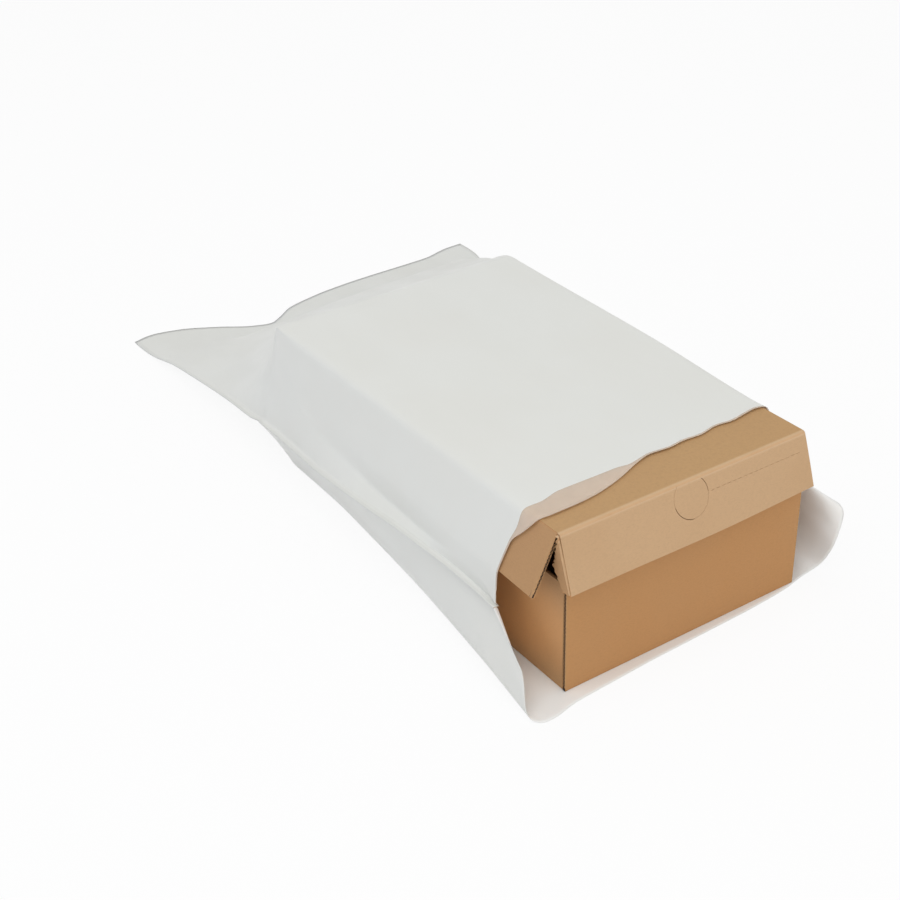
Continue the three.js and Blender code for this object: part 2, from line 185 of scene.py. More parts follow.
def math_node(tree, operation, *values):
    """Adds a Math node fed with the values, and gives its result's socket."""
    node = tree.nodes.new("ShaderNodeMath")
    node.operation = operation
    for inlet, value in zip(node.inputs, values):
        feed(tree, inlet, value)
    return Wire(tree, node.outputs[0])


def operator_pair(operation):
    """A Python operator's two methods: with the wire on its left, and with it on its right."""
    def wire_first(self, other):
        return math_node(self.tree, operation, self, other)

    def wire_last(self, other):
        return math_node(self.tree, operation, other, self)
    return wire_first, wire_last


class Wire:
    """A socket of a shader tree. Arithmetic on it adds Math nodes and gives the result's socket."""

    def __init__(self, tree, socket):
        self.tree = tree
        self.socket = socket

    def math(self, operation, *others):
        return math_node(self.tree, operation, self, *others)

    __add__, __radd__ = operator_pair("ADD")
    __sub__, __rsub__ = operator_pair("SUBTRACT")
    __mul__, __rmul__ = operator_pair("MULTIPLY")
    __pow__, __rpow__ = operator_pair("POWER")


def feed(tree, inlet, value):
    """Links a wire to a socket, or sets the socket to a value."""
    if isinstance(value, Wire):
        tree.links.new(value.socket, inlet)
    elif inlet.type == "RGBA" and len(value) == 3:
        inlet.default_value = (*value, 1)
    else:
        inlet.default_value = value


class Finish:
    """A material under construction: one shader tree with a Principled shader at its end."""

    def __init__(self, name, constants):
        self.material = bpy.data.materials.new(name)
        self.material.use_nodes = True
        self.tree = self.material.node_tree
        self.tree.nodes.clear()
        self.shader = self.tree.nodes.new("ShaderNodeBsdfPrincipled")
        self.outlet = self.tree.nodes.new("ShaderNodeOutputMaterial")
        self.tree.links.new(self.shader.outputs[0], self.outlet.inputs["Surface"])
        for socket, value in constants.items():
            feed(self.tree, self.shader.inputs[socket], value)

    def node(self, kind, settings, sockets, outlet=0):
        """Adds any node: its settings first, then the values or links of its sockets."""
        node = self.tree.nodes.new(kind)
        for name, value in settings.items():
            if name == "stops":
                self.set_stops(node.color_ramp, value)
            else:
                setattr(node, name, value)
        for name, value in sockets.items():
            feed(self.tree, node.inputs[name], value)
        return Wire(self.tree, node.outputs[outlet])

    def set_stops(self, ramp, stops):
        while len(ramp.elements) < len(stops):
            ramp.elements.new(1)
        for element, (position, colour) in zip(ramp.elements, stops):
            element.position = position
            element.color = (*colour, 1)

    def spot(self):
        return self.node("ShaderNodeTexCoord", {}, {}, "Object")

    def axes(self, vector):
        return [self.node("ShaderNodeSeparateXYZ", {}, {"Vector": vector}, axis) for axis in "XYZ"]

    def noise(self, vector, scale, detail=3, roughness=0.5):
        sockets = {"Vector": vector, "Scale": scale, "Detail": detail, "Roughness": roughness}
        return self.node("ShaderNodeTexNoise", {}, sockets)

    def stretched(self, vector, scale):
        return self.node("ShaderNodeMapping", {}, {"Vector": vector, "Scale": scale})

    def ramp(self, value, low, high):
        """0 below low, 1 above high, eased between them."""
        sockets = {"Value": value, "From Min": low, "From Max": high}
        return self.node("ShaderNodeMapRange", {"interpolation_type": "SMOOTHSTEP"}, sockets)

    def blend(self, factor, first, second, way="MIX"):
        settings = {"data_type": "RGBA", "blend_type": way}
        return self.node("ShaderNodeMix", settings, {0: factor, 6: first, 7: second}, 2)

    def bump(self, height, distance, strength):
        sockets = {"Height": height, "Distance": distance, "Strength": strength}
        return self.node("ShaderNodeBump", {}, sockets)

    def set(self, **sockets):
        for name, value in sockets.items():
            feed(self.tree, self.shader.inputs[name.replace("_", " ")], value)
        return self.material


def linear(red, green, blue):
    """A colour given as 0 to 255 screen values, as the shader's linear values."""
    def channel(value):
        share = value / 255
        return share / 12.92 if share <= 0.04045 else ((share + 0.055) / 1.055) ** 2.4
    return channel(red), channel(green), channel(blue)


def shaded(colour, share):
    """A colour with every channel at a share of what it was."""
    return [channel * share for channel in colour]


def new_object(name, data):
    thing = bpy.data.objects.new(name, data)
    bpy.context.scene.collection.objects.link(thing)
    return thing


def mesh_object(name, points, faces, materials=(), smooth=True, origin=ORIGIN):
    """A new object from points in millimetres about an origin, which is the carton's or a given one."""
    mesh = bpy.data.meshes.new(name)
    metres = np.asarray(points, float) * MM + np.array(origin)
    mesh.from_pydata(metres.tolist(), [], [list(face) for face in faces])
    for material in materials:
        mesh.materials.append(material)
    mesh.polygons.foreach_set("use_smooth", [smooth] * len(mesh.polygons))
    mesh.update()
    return new_object(name, mesh)


def settled(thing):
    """Turns an object's evaluated modifiers into its plain mesh."""
    bpy.context.view_layer.update()
    graph = bpy.context.evaluated_depsgraph_get()
    mesh = bpy.data.meshes.new_from_object(thing.evaluated_get(graph))
    thing.modifiers.clear()
    thing.data = mesh
    return thing


def grid_faces(rows, columns, start=0, flip=False):
    faces = []
    for row in range(rows - 1):
        for column in range(columns - 1):
            corner = start + row * columns + column
            ring = [corner, corner + 1, corner + columns + 1, corner + columns]
            faces.append(ring[::-1] if flip else ring)
    return faces


def grid_normals(points):
    """The direction a grid of points faces: its rows' direction crossed with its columns'."""
    across = np.gradient(points, axis=1)
    along = np.gradient(points, axis=0)
    facing = np.cross(across, along)
    return facing / np.linalg.norm(facing, axis=2, keepdims=True)


def board_sheet(outer, thickness=BOARD):
    """A closed plate whose outer face is a grid of points, with its wall behind that face."""
    rows, columns = outer.shape[:2]
    inner = outer - grid_normals(outer) * thickness
    points = np.concatenate([outer.reshape(-1, 3), inner.reshape(-1, 3)])
    behind = rows * columns
    faces = grid_faces(rows, columns) + grid_faces(rows, columns, behind, flip=True)
    index = np.arange(behind).reshape(rows, columns)
    rim = [*index[0], *index[1:, -1], *index[-1, -2::-1], *index[-2:0:-1, 0]]
    for here, after in zip(rim, rim[1:] + rim[:1]):
        faces.append([after, here, here + behind, after + behind])
    return points, faces


def joined_shells(shells):
    points, faces, start = [], [], 0
    for shell_points, shell_faces in shells:
        points.append(shell_points)
        faces += [[corner + start for corner in face] for face in shell_faces]
        start += len(shell_points)
    return np.concatenate(points), faces


def flat_panel(corner, across, along, steps=(2, 2), bow=0.0):
    """A flat board panel from one corner and its two edges; bow raises its middle a little."""
    shares_across = np.linspace(0, 1, steps[0])
    shares_along = np.linspace(0, 1, steps[1])
    corner, across, along = (np.array(values, float) for values in (corner, across, along))
    outer = corner + shares_along[:, None, None] * along + shares_across[None, :, None] * across
    facing = np.cross(across, along)
    facing /= np.linalg.norm(facing)
    swell = np.sin(math.pi * shares_along)[:, None] * np.sin(math.pi * shares_across)[None, :]
    return board_sheet(outer + bow * swell[..., None] * facing)


# The bag's film

def smooth_rail(knots):
    """A line along the bag through [y, x, z] places, eased so that it never swings past them."""
    table = np.array(knots, float)
    y, places = table[:, 0], table[:, 1:]
    span = np.diff(y)[:, None]
    slope = np.diff(places, axis=0) / span
    tangent = np.zeros_like(places)
    product = slope[:-1] * slope[1:]
    total = np.where(product > 0, slope[:-1] + slope[1:], 1)
    tangent[1:-1] = np.where(product > 0, 2 * product / total, 0)
    tangent[0], tangent[-1] = slope[0], slope[-1]

    def read(at):
        at = np.clip(np.asarray(at, float), y[0], y[-1])
        knot = np.clip(np.searchsorted(y, at) - 1, 0, len(y) - 2)
        width = (y[knot + 1] - y[knot])[..., None]
        share = (at - y[knot])[..., None] / width
        rest = 1 - share
        return (
            (1 + 2 * share) * rest ** 2 * places[knot]
            + share * rest ** 2 * width * tangent[knot]
            + share ** 2 * (3 - 2 * share) * places[knot + 1]
            - share ** 2 * rest * width * tangent[knot + 1]
        )
    return read


def smooth_curve(knots):
    """A smooth height over one axis, through [place, height] pairs."""
    rail = smooth_rail([[place, height, 0] for place, height in knots])
    return lambda at: rail(at)[..., 0]


def tail(share):
    """A place between the carton's back and the closed end."""
    return mix(CARTON_DEPTH, CLOSED_END_Y, share)


def flare(flares, y):
    """How far a side flap leans out at a place along the carton, from its degrees at each end."""
    return math.radians(mix(*flares, y / CARTON_DEPTH))


def left_flap_edge_at(y):
    """Where the film passes over the lower edge of the carton's left side flap."""
    lean = flare(LEFT_FLARES, y)
    reach = LID_OVERHANG + math.sin(lean) * SIDE_FLAP_DROP + FILM_OFF_FLAP
    return [y, -reach, LID_TOP - math.cos(lean) * SIDE_FLAP_DROP - FILM_UNDER_FLAP]


def right_rail(knots):
    """A smooth line whose x places count from the carton's right wall."""
    return smooth_rail([[y, CARTON_WIDTH + x, z] for y, x, z in knots])


def floor_rail(knots):
    """A smooth line of the film on the floor, through [y, x] places."""
    return smooth_rail([[y, x, FLOOR_FILM] for y, x in knots])


# The lines that the film is drawn through, each from the mouth back to the closed end
MOUTH_FRONT_Y = 25
MID_Y = CARTON_DEPTH * 0.5
BACK_Y = CARTON_DEPTH + 4
RIDGE_REACH = LID_OVERHANG + 2.6
RIDGE_Z = FILM_ON_LID + 0.8
CLOSED_END_Z = 1.2
SEAM_END_Z = 0.9
RIGHT_TIP_REACH = RIGHT_TIP_X - CARTON_WIDTH

LEFT_SEAM = smooth_rail([
    [MOUTH_FRONT_Y, -30, 63], [MOUTH_SETBACK, -31, 65], [85, -32.5, 69], [120, -34.5, 72],
    [182, -38.5, 73.5], [244, -40.5, 70], [319, -38, 62], [359, -33.5, 56.5], [391, -31, 54],
    [423, -29.5, 53], [450, -30.5, 53], [460, -27.5, 51], [474, -28.5, 48], [512, -27, 44.5],
    [580, -22, 33], [690, -17, 14], [CLOSED_END_Y, LEFT_TIP_X, SEAM_END_Z],
])
LEFT_VALLEY = smooth_rail([
    [MOUTH_FRONT_Y, -28.5, 66], [MOUTH_SETBACK, -28.5, 68], [70, -28, 78], [101, -27.5, 84],
    [172, -24.5, 78], [231, -22.5, 77.5], [302, -20, 82], [341, -18.7, 83], [377, -17.5, 88],
    [401, -15.8, 94], [420, -15.5, 92], [436, -15.5, 88], [448, -16, 83], [tail(0.12), -14, 67],
    [tail(0.3), 0, 50], [tail(0.6), 18, 22], [CLOSED_END_Y, LEFT_TIP_X + 45, CLOSED_END_Z],
])
LEFT_FLAP_EDGE = smooth_rail([
    left_flap_edge_at(MOUTH_FRONT_Y), left_flap_edge_at(MID_Y),
    left_flap_edge_at(CARTON_DEPTH * 0.87), [402, -14.2, 106], [416, -11.5, 122], [430, -8, 138],
    [BACK_Y, -5.2, 149], [454, -4, 134], [tail(0.12), 1, 97], [tail(0.3), 28, 68],
    [tail(0.6), 58, 31], [CLOSED_END_Y, LEFT_TIP_X + 95, CLOSED_END_Z],
])
LEFT_RIDGE = smooth_rail([
    [MOUTH_FRONT_Y, -RIDGE_REACH, RIDGE_Z], [BACK_Y, -RIDGE_REACH, RIDGE_Z],
    [BACK_Y + 9, -LID_OVERHANG + 1, FILM_ON_LID - 4], [tail(0.12), 15, 132],
    [tail(0.3), 55, LID_TOP * 0.6], [tail(0.6), 98, LID_TOP * 0.29],
    [CLOSED_END_Y, NOTCH_X, CLOSED_END_Z],
])
RIGHT_RIDGE = right_rail([
    [MOUTH_FRONT_Y, RIDGE_REACH, RIDGE_Z], [MOUTH_SETBACK, RIDGE_REACH, RIDGE_Z],
    [MID_Y, 14, FILM_ON_LID], [BACK_Y, 18, FILM_ON_LID], [BACK_Y + 9, 21, FILM_ON_LID - 3],
    [tail(0.3), 68, LID_TOP * 0.66], [tail(0.6), 120, LID_TOP * 0.34],
    [CLOSED_END_Y, RIGHT_TIP_REACH - 75, CLOSED_END_Z],
])
RIGHT_BULGE = right_rail([
    [MOUTH_FRONT_Y, 15, LID_TOP * 0.84], [MOUTH_SETBACK, 17, LID_TOP * 0.84],
    [MID_Y, 28, LID_TOP * 0.9], [BACK_Y, 36, LID_TOP * 0.91], [tail(0.3), 84, LID_TOP * 0.57],
    [tail(0.6), 136, LID_TOP * 0.25], [CLOSED_END_Y, RIGHT_TIP_REACH - 35, CLOSED_END_Z],
])
RIGHT_SEAM = right_rail([
    [MOUTH_FRONT_Y, 23, LID_TOP * 0.64], [MOUTH_SETBACK, 24, LID_TOP * 0.64],
    [CARTON_DEPTH * 0.3, 32, LID_TOP * 0.7], [MID_Y, 38, LID_TOP * 0.75],
    [BACK_Y, 50, LID_TOP * 0.8], [tail(0.3), 92, LID_TOP * 0.5], [tail(0.6), 142, LID_TOP * 0.22],
    [tail(0.85), 174, 4], [CLOSED_END_Y, RIGHT_TIP_REACH, SEAM_END_Z],
])
LEFT_FLOOR_FOLD = floor_rail([
    [MOUTH_SETBACK, -32], [120, -24], [201, -15], [289, -8], [350, -4], [420, -3], [442, -2.5],
    [454, 4], [500, 14], [tail(0.35), 22], [CLOSED_END_Y, LEFT_TIP_X + 20],
])
LEFT_FLOOR_SIDE = smooth_rail([
    [MOUTH_SETBACK, -43.5, 20], [98, -37, 19], [178, -26, 17], [264, -17.5, 16], [335, -11, 14],
    [391, -7, 12], [434, -6, 10], [448, -5, 9], [tail(0.12), 0, 9], [tail(0.35), 6, 7],
    [tail(0.6), 4, 3], [CLOSED_END_Y, LEFT_TIP_X + 14, FLOOR_FILM],
])
RIGHT_FLOOR_FOLD = floor_rail([
    [MOUTH_SETBACK, CARTON_WIDTH + 28], [MID_Y, CARTON_WIDTH + 30], [BACK_Y, CARTON_WIDTH + 34],
    [tail(0.6), CARTON_WIDTH + 112], [CLOSED_END_Y, RIGHT_TIP_X - 20],
])
RIGHT_FLOOR_SIDE = right_rail([
    [MOUTH_SETBACK, 38, LID_TOP * 0.3], [MID_Y, 40, LID_TOP * 0.36], [BACK_Y, 50, LID_TOP * 0.4],
    [tail(0.6), 138, LID_TOP * 0.12], [CLOSED_END_Y, RIGHT_TIP_REACH - 14, FLOOR_FILM],
])

# The mouth's edges: how far back they lie, by the distance along the film from the left
# ridge, where minus is down the left face. The lip before the white film is a single thin layer.
LIP_EDGE = smooth_curve([
    [-110, 55], [-60, 53.5], [-30, 50.5], [-14, 39], [0, 30.5], [10, 28.4], [28, 28.6],
    [42, 29.3], [58, 31.3], [78, 36], [94, 41], [107, 46], [118, 49.6], [130, 52.2],
    [151, 50.4], [168, 52.2], [185, 51.2], [206, 54.6], [223, 52.4], [238, 54.3],
    [251, 55.8], [262, 54], [320, 55],
])
WHITE_EDGE = smooth_curve([
    [-110, 56], [-60, 55], [-30, 52.5], [-14, 49], [0, 49.8], [14, 48.9], [38, 53.6],
    [78, 52.9], [95, 52.7], [107, 50.6], [118, 52.2], [130, 54.2], [151, 52.2],
    [168, 54.2], [185, 53], [206, 56.4], [223, 54.4], [238, 56.2], [251, 57.8],
    [262, 56], [320, 56.5],
])

# Where along its length a fold has risen to its full depth, and where it starts to fade
CREASE_FADE_IN = 0.25
CREASE_FADE_OUT = 0.6

# How far down the tail both layers begin to draw level, and the rows to lean to the end's edge
LEVEL_START = 0.7
PULL_START = 0.55
PULL_EASE = 1.3

# The mouth's edge stands off the lid in low waves, from a little way down the left face on
LIP_START = -75
LIFT_START = -60
LIP_LIFT = 0.7
LIP_WAVE = 19
LIP_WAVE_START = 0.6
LIFT_DEPTH = 7

# The film's grid: columns between neighbouring lines, and rows as [first y, last y, rows]
WELD_COLUMNS = 3
TOP_STEPS = (WELD_COLUMNS, 18, 8, 22, 62, 10, 14, WELD_COLUMNS)
BACK_STEPS = (WELD_COLUMNS, 12, 12, 80, 14, 16, WELD_COLUMNS)
COLUMNS = sum(TOP_STEPS) + 1
LEFT_RIDGE_COLUMN = sum(TOP_STEPS[:4])
TOP_ROWS = ((140, 425, 57), (425, 470, 15), (470, CLOSED_END_Y - WELD_WIDTH, 57))
BACK_ROWS = 92
MOUTH_ROWS = 29
MOUTH_CROWDING = 1.25
LIP_ROWS = 5
FLAP_ROWS = 22
READING_STEP = 1.5
SOFTENING = 3
FLAP_SOFTENING = 6

# The flap's front edge, from the left seam to the right one: [column, x, y, z]
FLAP_EDGE = [
    [0, -36, 10, 33], [3, -39, 3, 26], [9, -43, -3, 18], [15, -45, -7, 9], [21, -45, -13, 2.5],
    [27, -38, -20, FLOOR_FILM], [33, -23, -20.5, FLOOR_FILM], [37, -4, -15, FLOOR_FILM],
    [59, 84, -10, FLOOR_FILM], [88, 195, -7, FLOOR_FILM], [97, 228, -5, FLOOR_FILM],
    [102, 247, -3, FLOOR_FILM], [108, 268, 2, FLOOR_FILM], [113, 285, 3, 0.8],
    [118, 292, -1, 8], [122, 294, -8, 26], [129, 300, -8, 41], [136, 306, -6, 56],
    [138, 307, -4, 61], [140, 304, 0, 65],
]
RIGHT_FLAP_BEND = (-24, -14, 14)
RIGHT_BEND_COLUMNS = 14

CLOSED_END_EDGE = smooth_curve([
    [-18, 4], [5, 9], [37, 2], [77, -19], [112, -42], [134, -49], [148, -42], [173, -25],
    [197, -18], [234, -11], [286, -7], [379, -5], [423, 5], [444, 6],
])


def across(rails, steps, y):
    """The film's x and z over every column, at each y."""
    lines = [rail(y) for rail in rails]
    parts = []
    for line, after, count in zip(lines, lines[1:], steps):
        shares = np.arange(count) / count
        parts.append(line[:, None] + (after - line)[:, None] * shares[None, :, None])
    parts.append(lines[-1][:, None])
    return np.concatenate(parts, axis=1)


def softened(values, passes, axis):
    """Rounds the corners of rows of points a little; the ends stay."""
    values = np.moveaxis(values.copy(), axis, 0)
    for _ in range(passes):
        values[1:-1] = values[:-2] / 4 + values[1:-1] / 2 + values[2:] / 4
    return np.moveaxis(values, 0, axis)


def drawn_level(section, y, end_z):
    """Toward the closed end both layers' columns draw level, so that they meet."""
    start, stop = tail(LEVEL_START), CLOSED_END_Y - WELD_WIDTH
    share = smoothstep(start, stop, y)[:, None, None]
    x = np.linspace(LEFT_TIP_X, RIGHT_TIP_X, COLUMNS)
    return mix(section, np.stack([x, np.full(COLUMNS, end_z)], 1), share)


def layer(rails, steps, y, weld_side, end_z):
    """One layer of the tube over a fine list of y places, as x and z for every column."""
    section = softened(across(rails, steps, y), SOFTENING, 1)
    columns = np.arange(COLUMNS)
    welded = np.minimum(columns, COLUMNS - 1 - columns) <= WELD_COLUMNS
    section[:, welded, 1] += weld_side * WELD_RISE / 2
    return softened(drawn_level(section, y, end_z), SOFTENING, 0)


def welded_in(rails):
    """Adds the lines where the side welds end, just inside the two seams."""
    left, right = rails[0], rails[-1]
    step = np.array([WELD_WIDTH, 0.0])
    return [left, lambda y: left(y) + step, *rails[1:-1], lambda y: right(y) - step, right]


def read_layer(section, fine_y, y_rows):
    """Points of a layer where each column has its own y in each row."""
    points = np.zeros((*y_rows.shape, 3))
    for column, y in enumerate(y_rows.T):
        x, z = (np.interp(y, fine_y, section[:, column, part]) for part in (0, 1))
        points[:, column] = np.stack([x, y, z], 1)
    return points


def pulled_in(points):
    """Shapes the closed end: the rows near it lean into its edge line, with its notch."""
    share = smoothstep(tail(PULL_START), CLOSED_END_Y, points[..., 1])
    points[..., 1] += share ** PULL_EASE * CLOSED_END_EDGE(points[..., 0])
    return points


def crease(points, start, stop, width, depth):
    """How far the film stands out along one fold between two places, in a soft ridge."""
    start, stop = np.array(start, float), np.array(stop, float)
    line = stop - start
    share = np.clip(((points - start) @ line) / (line @ line), 0, 1)
    gap = np.linalg.norm(points - start - share[..., None] * line, axis=-1)
    fade = smoothstep(0, CREASE_FADE_IN, share) * smoothstep(1, CREASE_FADE_OUT, share)
    return depth * fade * np.exp(-(gap / width) ** 2)


# Folds in the front layer: [start, stop, width, depth], a minus depth being a dent
TOP_CREASES = [
    ([-2, 441, 153], [16, 560, 74], 10, 1.2),
    ([2, 450, 150], [40, 700, 8], 9, 1.6),
    ([6, 452, 148], [90, 690, 24], 10, -1.8),
    ([8, 452, 146], [70, 640, 40], 8, 1.6),
    ([4, 430, 153.4], [120, 424, 153.4], 5, 0.5),
]


def front_layer():
    """The layer over the carton, from the lip at the mouth to the closed end."""
    fine_y = np.arange(MOUTH_FRONT_Y, CLOSED_END_Y + 1, READING_STEP)
    rails = welded_in([
        LEFT_SEAM, LEFT_VALLEY, LEFT_FLAP_EDGE, LEFT_RIDGE,
        RIGHT_RIDGE, RIGHT_BULGE, RIGHT_SEAM,
    ])
    section = layer(rails, TOP_STEPS, fine_y, 1, CLOSED_END_Z)
    mouth = np.searchsorted(fine_y, MOUTH_SETBACK)
    steps = np.linalg.norm(np.diff(section[mouth], axis=0), axis=1)
    reach = np.concatenate([[0], np.cumsum(steps)])
    reach -= reach[LEFT_RIDGE_COLUMN]
    lip, white = LIP_EDGE(reach), WHITE_EDGE(reach)
    lip = np.where(reach < LIP_START, MOUTH_SETBACK, lip)
    rows = [mix(lip, white, share) for share in np.linspace(0, 1, LIP_ROWS + 1)[:-1]]
    shares = np.linspace(0, 1, MOUTH_ROWS + 1)[:-1] ** MOUTH_CROWDING
    rows += [mix(white, TOP_ROWS[0][0], share) for share in shares]
    places = [CLOSED_END_Y - WELD_WIDTH, CLOSED_END_Y]
    for first, last, count in reversed(TOP_ROWS):
        places = [*np.linspace(first, last, count + 1)[:-1], *places]
    rows += [np.full(COLUMNS, y) for y in places]
    points = read_layer(section, fine_y, np.array(rows))
    facing = grid_normals(points)
    out = sum(crease(points, *fold) for fold in TOP_CREASES)
    edge_gap = points[..., 1] - lip
    lift = LIP_LIFT * (0.5 + 0.5 * np.sin(reach / LIP_WAVE + LIP_WAVE_START))
    out = out + np.where(reach > LIFT_START, lift * np.exp(-edge_gap / LIFT_DEPTH), 0)
    points += facing * out[..., None]
    return pulled_in(points)


def back_layer():
    """The layer on the floor, from the closed end forward and on past the mouth as the flap."""
    fine_y = np.arange(MOUTH_SETBACK, CLOSED_END_Y + 1, READING_STEP)
    rails = welded_in([
        LEFT_SEAM, LEFT_FLOOR_SIDE, LEFT_FLOOR_FOLD,
        RIGHT_FLOOR_FOLD, RIGHT_FLOOR_SIDE, RIGHT_SEAM,
    ])
    section = layer(rails, BACK_STEPS, fine_y, -1, FLOOR_FILM)
    places = [CLOSED_END_Y, *np.linspace(CLOSED_END_Y - WELD_WIDTH, MOUTH_SETBACK, BACK_ROWS)]
    points = pulled_in(read_layer(section, fine_y, np.array(places)[:, None] * np.ones(COLUMNS)))
    table = np.array(FLAP_EDGE, float)
    columns = np.arange(COLUMNS)
    edge = np.stack([np.interp(columns, table[:, 0], table[:, axis]) for axis in (1, 2, 3)], 1)
    edge = softened(edge, FLAP_SOFTENING, 0)
    start = points[-1]
    middle = (start + edge) / 2
    bend = smoothstep(COLUMNS - RIGHT_BEND_COLUMNS, COLUMNS - 1, columns)
    middle += bend[:, None] * np.array(RIGHT_FLAP_BEND)
    flap = []
    for share in np.linspace(0, 1, FLAP_ROWS + 1)[1:]:
        rest = 1 - share
        flap.append(rest ** 2 * start + 2 * rest * share * middle + share ** 2 * edge)
    return np.concatenate([points, np.array(flap)])


def add_web_map(mesh, rows, columns):
    """The web's own map: u across from the left seam, v along from the mouth's lip."""
    uv = mesh.uv_layers.new(name="web")
    corner = np.zeros(len(mesh.loops), int)
    mesh.loops.foreach_get("vertex_index", corner)
    u = (corner % columns) / (columns - 1)
    v = (corner // columns) / (rows - 1)
    uv.data.foreach_set("uv", np.stack([u, v], 1).ravel())


def build_film(settings, finishes):
    """The film as one thin web: the front layer from the mouth back, then the back layer."""
    web = np.concatenate([front_layer(), back_layer()[1:]])
    rows, columns = web.shape[:2]
    film = mesh_object(
        "mailing_bag_film", web.reshape(-1, 3), grid_faces(rows, columns), finishes)
    add_web_map(film.data, rows, columns)
    slots = np.zeros(len(film.data.polygons), int)
    slots[:LIP_ROWS * (columns - 1)] = 1
    film.data.polygons.foreach_set("material_index", slots)
    wall = film.modifiers.new("wall", "SOLIDIFY")
    wall.thickness = settings.film_thickness
    wall.offset = 0
    wall.material_offset = 2
    return settled(film)


# The carton

def tray_shells():
    """The tray's four walls, its floor and its corner tabs, each a closed plate."""
    side_front = BOARD + CORNER_SLOT
    side_run = CARTON_DEPTH - 2 * side_front
    low = WALL_FOOT
    front_rise, side_rise = FRONT_WALL_TOP - low, SIDE_WALL_TOP - low
    width, depth, inset = CARTON_WIDTH, CARTON_DEPTH, FLOOR_INSET
    shells = [
        flat_panel((0, 0, low), (width, 0, 0), (0, 0, front_rise), FRONT_WALL_STEPS, FRONT_WALL_BOW),
        flat_panel((width, depth, low), (-width, 0, 0), (0, 0, BACK_WALL_TOP - low)),
        flat_panel(
            (inset, inset, CARTON_BASE + BOARD), (width - 2 * inset, 0, 0), (0, depth - 2 * inset, 0)),
        flat_panel((0, depth - side_front, low), (0, -side_run, 0), (0, 0, side_rise)),
        flat_panel((width, side_front, low), (0, side_run, 0), (0, 0, side_rise)),
    ]
    tab = (CORNER_TAB, 0, 0), (0, 0, front_rise - BOARD)
    for x in (CORNER_TAB_INSET, width - CORNER_TAB - CORNER_TAB_INSET):
        for y in (side_front, depth - side_front - BOARD):
            shells.append(flat_panel((x, y, CARTON_BASE), *tab))
    return shells


def bent_profile(start, corner, end, radius):
    """A line from start to end that turns through a rounded crease at the corner."""
    start, corner, end = (np.array(values, float) for values in (start, corner, end))
    near, far = (
        corner + (tip - corner) / np.linalg.norm(tip - corner) * radius for tip in (start, end))
    shares = np.linspace(0, 1, BEND_POINTS)[:, None]
    bend = (1 - shares) ** 2 * near + 2 * shares * (1 - shares) * corner + shares ** 2 * far
    before = start + (near - start) * np.linspace(0, 1, STRAIGHT_POINTS[0])[:-1, None]
    after = far + (end - far) * np.linspace(0, 1, STRAIGHT_POINTS[1])[1:, None]
    return np.concatenate([before, bend, after])


def lid_and_front_flap():
    """The lid's panel, bent down over its front crease into the front flap."""
    lid_back = (CARTON_DEPTH, LID_TOP)
    hem = on_front_flap(0, FRONT_FLAP_DROP, 0)[1:]
    profile = bent_profile(lid_back, (LID_CREASE, LID_TOP), hem, CREASE_RADIUS)[::-1]
    places = np.linspace(-LID_OVERHANG, CARTON_WIDTH + LID_OVERHANG, LID_COLUMNS)
    outer = np.zeros((len(profile), len(places), 3))
    outer[..., 0] = places
    outer[..., 1:] = profile[:, None]
    down = np.clip((LID_TOP - outer[..., 2]) / FRONT_FLAP_DROP, 0, 1)
    outer[..., 0] += (outer[..., 0] / CARTON_WIDTH - 0.5) * 2 * FRONT_FLAP_SPREAD * down
    half_turns = outer[..., 0] / CARTON_WIDTH * math.pi
    for axis, size, pace, start in FRONT_FLAP_WAVES:
        outer[..., axis] += size * np.sin(half_turns * pace + start) * down ** 2
    return board_sheet(outer)


def side_flap(hinge_x, outward, flares, front_y):
    """A side flap, bent down from the lid's edge and leaning outward."""
    rows = []
    for y in np.linspace(front_y, CARTON_DEPTH - 2 * BOARD, SIDE_FLAP_ROWS):
        lean = flare(flares, y)
        reach = hinge_x + outward * math.sin(lean) * SIDE_FLAP_DROP
        hem = (reach, LID_TOP - math.cos(lean) * SIDE_FLAP_DROP)
        start = (hinge_x - outward * SIDE_FLAP_ROOT, LID_TOP - SIDE_FLAP_TUCK)
        line = bent_profile(start, (hinge_x, LID_TOP + SIDE_FLAP_RISE), hem, CREASE_RADIUS)
        row = np.insert(line, 1, y, axis=1)
        rows.append(row[::-1] if outward < 0 else row)
    return board_sheet(np.array(rows))


def torn_tab():
    """The torn strip of board folded back at the front flap's left end."""
    lean = math.radians(FRONT_FLAP_FLARE)
    bottom = FRONT_FLAP_DROP * math.cos(lean) - TORN_TAB_GAP
    downs = np.linspace(TORN_TAB_TOP, bottom, TORN_TAB_ROWS)
    front = LID_CREASE - math.tan(lean) * downs + TORN_TAB_GAP
    torn = np.interp(downs, *TORN_WIDTHS)
    torn += sum(size * np.sin(downs * pace + start) for size, pace, start in TORN_WAVES)
    rows = []
    for down, near, width in zip(downs, front, torn):
        curl = TORN_TAB_CURL * math.sin(down / TORN_TAB_CURL_RUN)
        rows.append([
            [-LID_OVERHANG - TORN_TAB_GAP - curl * share, near + width * share, LID_TOP - down]
            for share in TORN_TAB_COLUMNS
        ])
    return board_sheet(np.array(rows)[:, ::-1], TORN_TAB_BOARD)


def on_front_flap(across_flap, down, out):
    """A place on the front flap: across from the left wall, down from the crease, out from its face."""
    lean = math.radians(FRONT_FLAP_FLARE)
    y = LID_CREASE - math.sin(lean) * down - math.cos(lean) * out
    z = LID_TOP - math.cos(lean) * down + math.sin(lean) * out
    return [across_flap, y, z]


